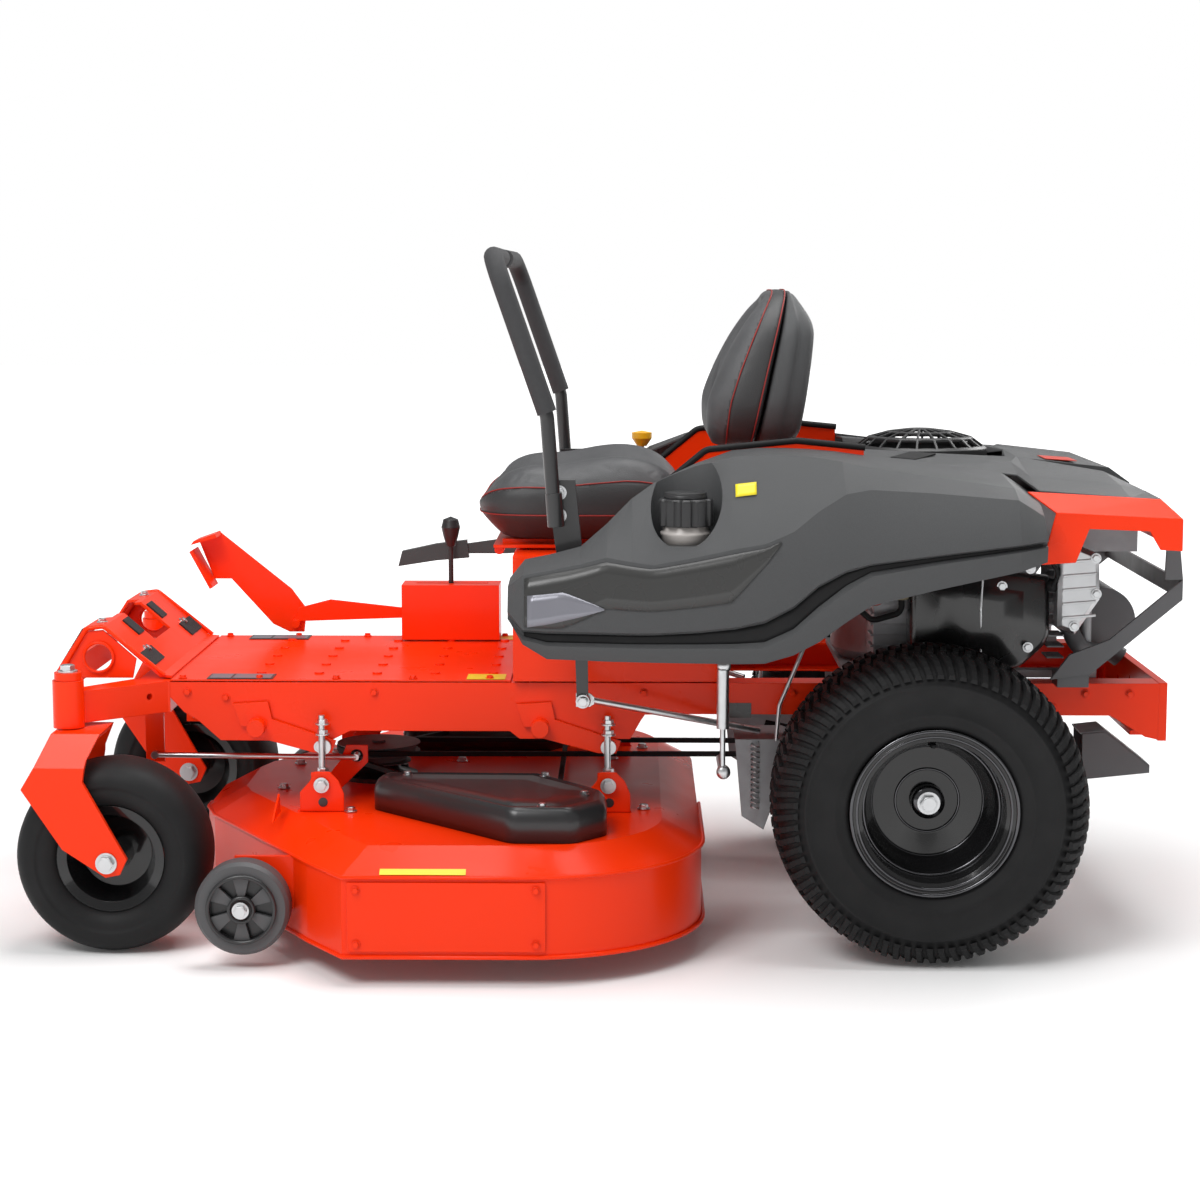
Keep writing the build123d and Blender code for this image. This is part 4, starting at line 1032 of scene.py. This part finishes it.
# ------------------------------------------------------------------ deck trim
# The mowing deck has a rolled edge at the top and foot of its band, bolted
# side plates with bent ends, stiffening gussets and a blank yellow strip.
band_corners = [(-767, 60), (-767, 100), (-744, 176), (-521, 562), (-449, 670), (-139, 670)]
band_turns = [math.pi / 32 * k for k in range(1, 17)]
band_arc = [(-139 + 306 * math.sin(turn), 364 + 306 * math.cos(turn)) for turn in band_turns]
for part, level, radius in (("top", 189, 0.0035), ("foot", 52, 0.004)):
    bead = [measured(-1, x, y, level) for x, y in band_corners + band_arc + [(167, 60)]]
    tube(f"deck_{part}_bead", bead, radius, "deck", paint, rings=8)
plate_faces = [places(-1, (x0, y0 + 1.5, 62), (x1, y1 + 1.5, 62), (x1, y1 + 1.5, 181), (x0, y0 + 1.5, 181))
               for (x0, y0), (x1, y1) in (((-440, 670), (-139, 670)), ((-139, 670), (-106, 668.5)))]
sheet_of("deck_side_plate", plate_faces, 0.003, "deck", paint, 0.001)
bolts("deck_plate_bolts", "deck", [(measured(-1, x, 674, z), (0, -1, 0), 0.006) for x, z in
                                   ((-425, 168), (-425, 75), (-122, 168), (-122, 75))], paint)
deck_label = [places(-1, (-385, 668, 193.5), (-240, 668, 193.5), (-240, 655, 200.5), (-385, 655, 200.5))]
sheet_of("deck_label", deck_label, 0.0008, "deck", yellow_decal, 0)
gussets = []
for side in SIDES.values():
    for x in (-600, -180):
        gussets.append(places(side, (x, 322, 227), (x, 420, 227), (x, 330, 262)))
sheet_of("deck_gussets", gussets, 0.004, "deck", paint, 0.001)
bolts("deck_top_bolts", "deck", [(measured(side, x, y, 229), (0, 0, 1), 0.0085) for side in SIDES.values()
                                 for x, y in ((-560, 240), (-470, 330), (-300, 150), (60, 300), (0, 180),
                                              (-620, 120))])

# ------------------------------------------------------------------ spindle covers
# Moulded black covers over the outer blade pulleys, with rounded rims, raised
# stiffening ribs, and a screw at each corner.
COVER_PLAN = [(-430, 255), (-140, 250), (-30, 390), (-5, 430), (-5, 520), (-60, 585), (-170, 585),
              (-230, 520), (-430, 310)]
black_moulding = Finish("satin_black_moulding", (0.018, 0.018, 0.019), 0.35, coat=0.15)
black_moulding.feed("Roughness", black_moulding.noise(9.0) * 0.15 + 0.26)
black_moulding.bump(black_moulding.cells(900.0), 0.08, 0.0004)
for name, side in SIDES.items():
    flat = rounded_route([Vector((x, y, 0)) for x, y in COVER_PLAN + COVER_PLAN[:2]], 34, 5)[6:-1]
    count, rows = len(flat), ((1.0, 229), (1.0, 262), (0.995, 270), (0.975, 281), (0.93, 289), (0.90, 290),
                              (0.885, 286.5), (0.80, 286.5), (0.78, 290), (0.5, 290.5))
    points, faces = [], []
    hub = Vector((-180, 420, 0))
    for scale, z in rows:
        for spot in flat:
            place = hub + (spot - hub) * scale
            points.append(measured(side, place.x, place.y, z))
    for row in range(len(rows) - 1):
        faces += [(row * count + k, row * count + (k + 1) % count, (row + 1) * count + (k + 1) % count,
                   (row + 1) * count + k) for k in range(count)]
    faces += [tuple(range(count)), tuple(range((len(rows) - 1) * count, len(rows) * count))]
    lid = add_piece(f"spindle_cover_{name}", points, faces, "deck", black_moulding)
    bolts(f"spindle_cover_screws_{name}", "deck", [(measured(side, x, y, 287), (0, 0, 1), 0.007) for x, y in
                                                   ((-120, 290), (-45, 455), (-115, 560), (-370, 285))])
    if side > 0:
        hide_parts("spindle_covers")

# ------------------------------------------------------------------ scalp wheel hubs
# Grey moulded tyres turn on black plastic hubs, each with six grey wedges
# between its raised rim and its boss.
grey_rubber = Finish("grey_wheel_rubber", (0.075, 0.075, 0.078), 0.5)
grey_rubber.feed("Roughness", grey_rubber.noise(22.0) * 0.2 + 0.42)
grey_rubber.bump(grey_rubber.noise(240.0, 4.0), 0.12, 0.0005, edge=0.002)
cover(grey_rubber, "scalp_wheel_left", "scalp_wheel_right")
for name, side in SIDES.items():
    centre = middle(f"scalp_wheel_{name}") + Vector((0, side * 0.020, 0))
    wedge, steps = [], 6
    for depth in (-0.004, 0.004):
        for radius in (0.021, 0.057):
            for k in range(steps + 1):
                angle = math.radians(-15 + 30 * k / steps)
                wedge.append((radius * math.sin(angle), depth * side, radius * math.cos(angle)))
    row = steps + 1
    faces = []
    for k in range(steps):
        faces += [(k, k + 1, row + k + 1, row + k),
                  (2 * row + k, 3 * row + k, 3 * row + k + 1, 2 * row + k + 1),
                  (k, 2 * row + k, 2 * row + k + 1, k + 1),
                  (row + k, row + k + 1, 3 * row + k + 1, 3 * row + k)]
    faces += [(0, row, 3 * row, 2 * row), (row - 1, 3 * row - 1, 4 * row - 1, 2 * row - 1)]
    repeat_round(f"scalp_hub_windows_{name}", wedge, faces, 6, centre, f"scalp_wheel_{name}",
                 grey_rubber)
    points, faces = spin_points([(side * -0.012, 0.0), (side * -0.012, 0.058), (side * -0.0085, 0.058),
                                 (side * -0.0085, 0.0)], centre, 36)
    add_piece(f"scalp_hub_disc_{name}", points, faces, f"scalp_wheel_{name}", black_moulding,
              smooth=False)
    for part, radius in (("rim", 0.058), ("boss", 0.021)):
        points, faces = spin_points([(-0.012, radius - 0.003), (0.006, radius - 0.003), (0.007, radius),
                                     (0.006, radius + 0.003), (-0.012, radius + 0.003)], centre, 48)
        add_piece(f"scalp_hub_{part}_{name}", points, faces, f"scalp_wheel_{name}",
                  black_moulding)

# ------------------------------------------------------------------ floor and foot plate
# The floor has formed treads and bolts along its edges; the foot plate has
# rubber grip strips, side arches with rolled edges, and the rails carry two
# blank labels.
grip = Finish("black_grip_tape", (0.014, 0.014, 0.015), 0.8)
grip.feed("Roughness", grip.noise(150.0) * 0.2 + 0.7)
grip.bump(grip.cells(700.0), 0.6, 0.001)
strips = []
for side in SIDES.values():
    strips += [places(side, (-1008, 150, 481), (-1008, 258, 481), (-964, 258, 551), (-964, 150, 551)),
               places(side, (-862, 150, 506), (-862, 258, 506), (-836, 258, 483), (-836, 150, 483)),
               places(side, (-915, 92, 552), (-915, 140, 552), (-884, 140, 525), (-884, 92, 525))]
sheet_of("foot_grip_strips", strips, 0.003, "chassis", grip, 0)
for name, side in SIDES.items():
    arch = rounded_route(places(side, (-1006, 264, 470), (-956, 264, 553), (-925, 264, 557),
                                (-815, 264, 468)), 0.012, 6)
    tube(f"foot_plate_roll_{name}", arch, 0.004, "chassis", paint, rings=8)
    ring = [measured(side, -935 + 27 * math.cos(turn), 264, 500 + 27 * math.sin(turn))
            for turn in [math.tau * k / 32 for k in range(33)]]
    tube(f"foot_hole_bead_{name}", ring, 0.003, "chassis", paint, rings=8)
    for part, x0, x1, low_y, high_y, level, finish in (("dark", -735, -615, 224, 282, 464.2, decal),
                                                       ("pale_front", -731, -692, 230, 277, 464.9,
                                                        silver_decal),
                                                       ("pale_rear", -688, -619, 230, 277, 464.9,
                                                        silver_decal),
                                                       ("yellow", -262, -192, 224, 282, 464.2,
                                                        yellow_decal)):
        sheet_of(f"floor_label_{part}_{name}",
                 [places(side, (x0, low_y, level), (x1, low_y, level), (x1, high_y, level),
                         (x0, high_y, level))], 0.0006, "chassis", finish, 0)
    sheet_of(f"rail_notice_{name}", [places(side, (200, 286, 395), (255, 286, 395), (255, 286, 422),
                                            (200, 286, 422))], 0.0006, "chassis", decal, 0)
    bolts(f"rail_bolts_{name}", "chassis",
          [(measured(side, x, 285.5, z), (0, side, 0), 0.006) for x, z in
           ((-770, 440), (-700, 430), (-430, 440), (60, 440), (330, 440),
            (400, 415), (860, 440), (940, 440), (800, 415))], paint)
    ears = [[measured(side, x + dx, 328.5, z) for dx, z in ((-40, 229), (40, 229), (40, 262), (30, 286),
                                                            (14, 302), (-14, 302), (-22, 284), (-40, 264))]
            for x in (-522, -4)]
    sheet_of(f"hanger_ears_{name}", ears, 0.003, "deck", paint, 0.0012)
    # A thin black disc on each ear is painted shade: it stands in for the dark of a keyhole, which is not cut
    # through the ear.
    for x in (-522, -4):
        points, faces = spin_points([(0.0, 0.0), (0.0, 0.0085), (side * 0.0006, 0.0085),
                                     (side * 0.0006, 0.0)], measured(side, x + 2, 330.2, 246), 20)
        add_piece(f"painted_shade_keyhole_{'front' if x < -9 else 'rear'}_{name}", points, faces, "deck",
                  enamel, smooth=False)
    bolts(f"foot_plate_bolts_{name}", "chassis",
          [(measured(side, x, y, z), (nx, 0, nz), 0.0075) for x, y, z, nx, nz in
           ((-862, 187, 504, 0.66, 0.75), (-990, 200, 506, -0.85, 0.52), (-940, 200, 556, 0, 1))])
bolts("floor_screws", "chassis", [(measured(side, x, 272, 463.5), (0, 0, 1), 0.006) for side in SIDES.values()
                                  for x in (-780, -640, -500, -360, -220)], paint)

# ------------------------------------------------------------------ deck lift hardware
# Threaded hanger rods pass through trunnions on the lift arms under pairs of
# nuts, and ball joints carry the steering rods.
for name, side in SIDES.items():
    spots = []
    for x in (-522, -4):
        spots += [(measured(side, x, 309, z), (0, 0, 1), 0.0098) for z in (366, 385, 296)]
        spots.append((measured(side, x, 334, 278), (0, side, 0), 0.0105))
    bolts(f"hanger_nuts_{name}", "deck", spots)
    for pin, x in (("front", -522), ("rear", -4)):
        points, faces = spin_points([(-0.006, 0.0), (-0.006, 0.014), (0.006, 0.014), (0.006, 0.0)],
                                    measured(side, x, 297, 342), 24)
        add_piece(f"lift_trunnion_{pin}_{name}", points, faces, f"{pin}_rockshaft", zinc,
                  smooth=False)
    for label, body, x, out, z in (("front", f"control_arm_{name}", -46, 452, 453),
                                   ("strut_top", "chassis", 200, 424, 511),
                                   ("strut_low", "chassis", 200, 424, 322)):
        points, faces = spin_points([(-0.009, 0.0), (-0.008, 0.008), (-0.004, 0.0125), (0.004, 0.0125),
                                     (0.008, 0.008), (0.009, 0.0)], measured(side, x, out, z), 24)
        add_piece(f"ball_joint_{label}_{name}", points, faces, body, zinc)
    tube(f"brake_rod_{name}", rounded_route(places(side, (350, 296, 530), (338, 300, 500), (305, 300, 420),
                                                   (300, 292, 352)), 0.02), 0.004, "chassis",
         zinc, rings=12)
    spring = [measured(side, 262 + 7 * math.cos(turn), 300 + 7 * math.sin(turn), 230 + turn * 1.5)
              for turn in [math.tau * k / 14 for k in range(14 * 13)]]
    tube(f"pump_return_spring_{name}", spring, 0.0016, "chassis", zinc, rings=8)

# ------------------------------------------------------------------ engine details
# An air-cooled V-twin: a smooth black blower housing on each side with a
# moulding seam, ribbed pale rocker covers, fuel filter, plug leads and hoses.
satin_black = Finish("engine_black", (0.012, 0.012, 0.0125), 0.28, coat=0.4)
satin_black.feed("Roughness", satin_black.noise(7.0) * 0.15 + 0.2)
red_fitting = Finish("red_fitting", (0.55, 0.03, 0.01), 0.4)
red_fitting.feed("Roughness", red_fitting.noise(60.0) * 0.15 + 0.33)
amber = Finish("clear_fuel_filter", (0.30, 0.26, 0.18), 0.2)
amber.feed("Roughness", amber.noise(60.0) * 0.15 + 0.12)
for name, side in SIDES.items():
    flat = rounded_route([Vector(point) for point in ((535, 680, 0), (785, 700, 0), (790, 540, 0),
                                                      (735, 488, 0), (600, 482, 0), (535, 520, 0),
                                                      (535, 680, 0), (785, 700, 0))], 42, 6)[7:-1]
    count, hub = len(flat), Vector((662, 592, 0))
    rows = ((1.0, 274), (1.0, 296), (0.985, 306), (0.95, 314), (0.90, 318), (0.62, 321), (0.60, 324),
            (0.3, 325))
    points = []
    for scale, out in rows:
        for spot in flat:
            place = hub + (spot - hub) * scale
            points.append(measured(side, place.x, out, place.y))
    faces = [(row * count + k, row * count + (k + 1) % count, (row + 1) * count + (k + 1) % count,
              (row + 1) * count + k) for row in range(len(rows) - 1) for k in range(count)]
    faces += [tuple(range(count)), tuple(range((len(rows) - 1) * count, len(rows) * count))]
    housing = add_piece(f"blower_housing_{name}", points, faces, "chassis", satin_black)
    if side > 0:
        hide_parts("cylinder_shrouds")
    tube(f"housing_seam_{name}", rounded_route(places(side, (668, 312, 692), (666, 320.5, 672),
                                                      (662, 325, 600), (664, 319, 500), (667, 306, 487)),
                                               0.02), 0.0022, "chassis", cover_metal,
         rings=8)
    bolts(f"housing_screws_{name}", "chassis", [(measured(side, x, 319, z), (0, side, 0), 0.007) for x, z in
                                                ((565, 660), (565, 530), (750, 672), (748, 530), (700, 640))])
    ribs = []
    for z in (585, 610, 635, 660, 685):
        ribs.append(places(side, (806, 330.5, z - 3), (866, 330.5, z + 2), (866, 330.5, z + 7),
                           (806, 330.5, z + 2)))
    sheet_of(f"rocker_cover_ribs_{name}", ribs, 0.003, "chassis", cover_metal, 0.0008)
    bolts(f"rocker_cover_bolts_{name}", "chassis",
          [(measured(side, x, 331, z), (0, side, 0), 0.007)
           for x, z in ((812, 700), (864, 692), (866, 628), (828, 570))])
    points, faces = spin_points([(-0.020, 0.0), (-0.020, 0.010), (0.0, 0.012), (0.018, 0.011), (0.022, 0.008),
                                 (0.024, 0.0)], measured(side, 790, 300, 640), 20)
    add_piece(f"plug_boot_{name}", points, faces, "chassis", rubber)
    tube(f"plug_lead_{name}", rounded_route(places(side, (790, 318, 640), (800, 326, 665), (770, 322, 706),
                                                   (700, 250, 712)), 0.02), 0.0038, "chassis",
         rubber, rings=12)
    fins = []
    for k in range(9):
        z = 505 + k * 20
        fins.append(places(side, (470, 215, z), (533, 215, z), (533, 276, z), (470, 276, z)))
        fins.append(places(side, (790, 215, z), (820, 215, z), (820, 276, z), (790, 276, z)))
    sheet_of(f"cylinder_fins_{name}", fins, 0.003, "chassis", casting, 0)
filter_at = measured(-1, 585 - 62, 300, 640)
points, faces = spin_points([(-0.026, 0.0), (-0.026, 0.012), (-0.018, 0.016), (0.018, 0.016), (0.026, 0.012),
                             (0.026, 0.0)], (0, 0, 0), 28)
points = [Vector((filter_at[0] + x, filter_at[1] + z, filter_at[2] + y)) for x, y, z in points]
add_piece("fuel_filter", points, faces, "chassis", amber)
tube("fuel_hose", rounded_route(places(-1, (523, 300, 664), (523, 300, 690), (480, 270, 705),
                                       (440, 200, 690)), 0.02), 0.0055, "chassis", rubber,
     rings=12)
tube("fuel_hose_low", rounded_route(places(-1, (523, 300, 616), (523, 300, 590), (470, 305, 575),
                                           (430, 290, 610), (420, 240, 640)), 0.02), 0.0055, "chassis",
     rubber, rings=12)
tube("fuel_elbow", rounded_route(places(-1, (462, 305, 610), (486, 305, 612), (490, 305, 640)), 0.012),
     0.0085, "chassis", red_fitting, rings=16)
tube("exhaust_pipe", rounded_route(places(-1, (830, 250, 560), (850, 262, 520), (900, 215, 505)), 0.03),
     0.016, "chassis", grey_enamel)
accent = [places(-1, (800, 60, 856.5), (858, 60, 852.5), (858, 150, 852.5), (800, 150, 856.5))]
sheet_of("air_cleaner_accent", accent, 0.0012, "chassis", red_fitting, 0)

# ------------------------------------------------------------------ rear hanging plate
# A dark bent plate hangs behind the axle on its brackets and guards the drive;
# its two edges are folded strips.
for edge, out in (("outer", 150), ("inner", 60)):
    sheet_of(f"hanging_plate_{edge}", [[measured(-1, x, out, z) for x, z in
                                        ((881, 257), (1006, 269), (1006, 282), (923, 346), (880, 342))]],
             0.003, "chassis", grey_enamel, 0.0008)

# ------------------------------------------------------------------ belts
# Rubber V belts: one drives all three blades and rises with the deck, one
# runs back to the engine's pulley and is not tied to any moving body.
for name, upper in (("blade_belt", False), ("engine_belt", True)):
    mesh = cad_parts["deck_belt"].data.copy()
    loop = bmesh.new()
    loop.from_mesh(mesh)
    bmesh.ops.remove_doubles(loop, verts=loop.verts, dist=1e-6)
    split_height = 0.278
    bmesh.ops.delete(loop, geom=[v for v in loop.verts if (v.co.z > split_height) != upper], context="VERTS")
    loop.to_mesh(mesh)
    loop.free()
    mesh.materials.clear()
    mesh.materials.append(rubber.material)
    belt = bpy.data.objects.new(name, mesh)
    bpy.context.collection.objects.link(belt)
    if upper:
        measured(-1, -340, 0, 285)
        measured(-1, 500, 0, 285)
        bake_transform(belt)
    else:
        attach(belt, "deck")
        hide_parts("deck_belt")
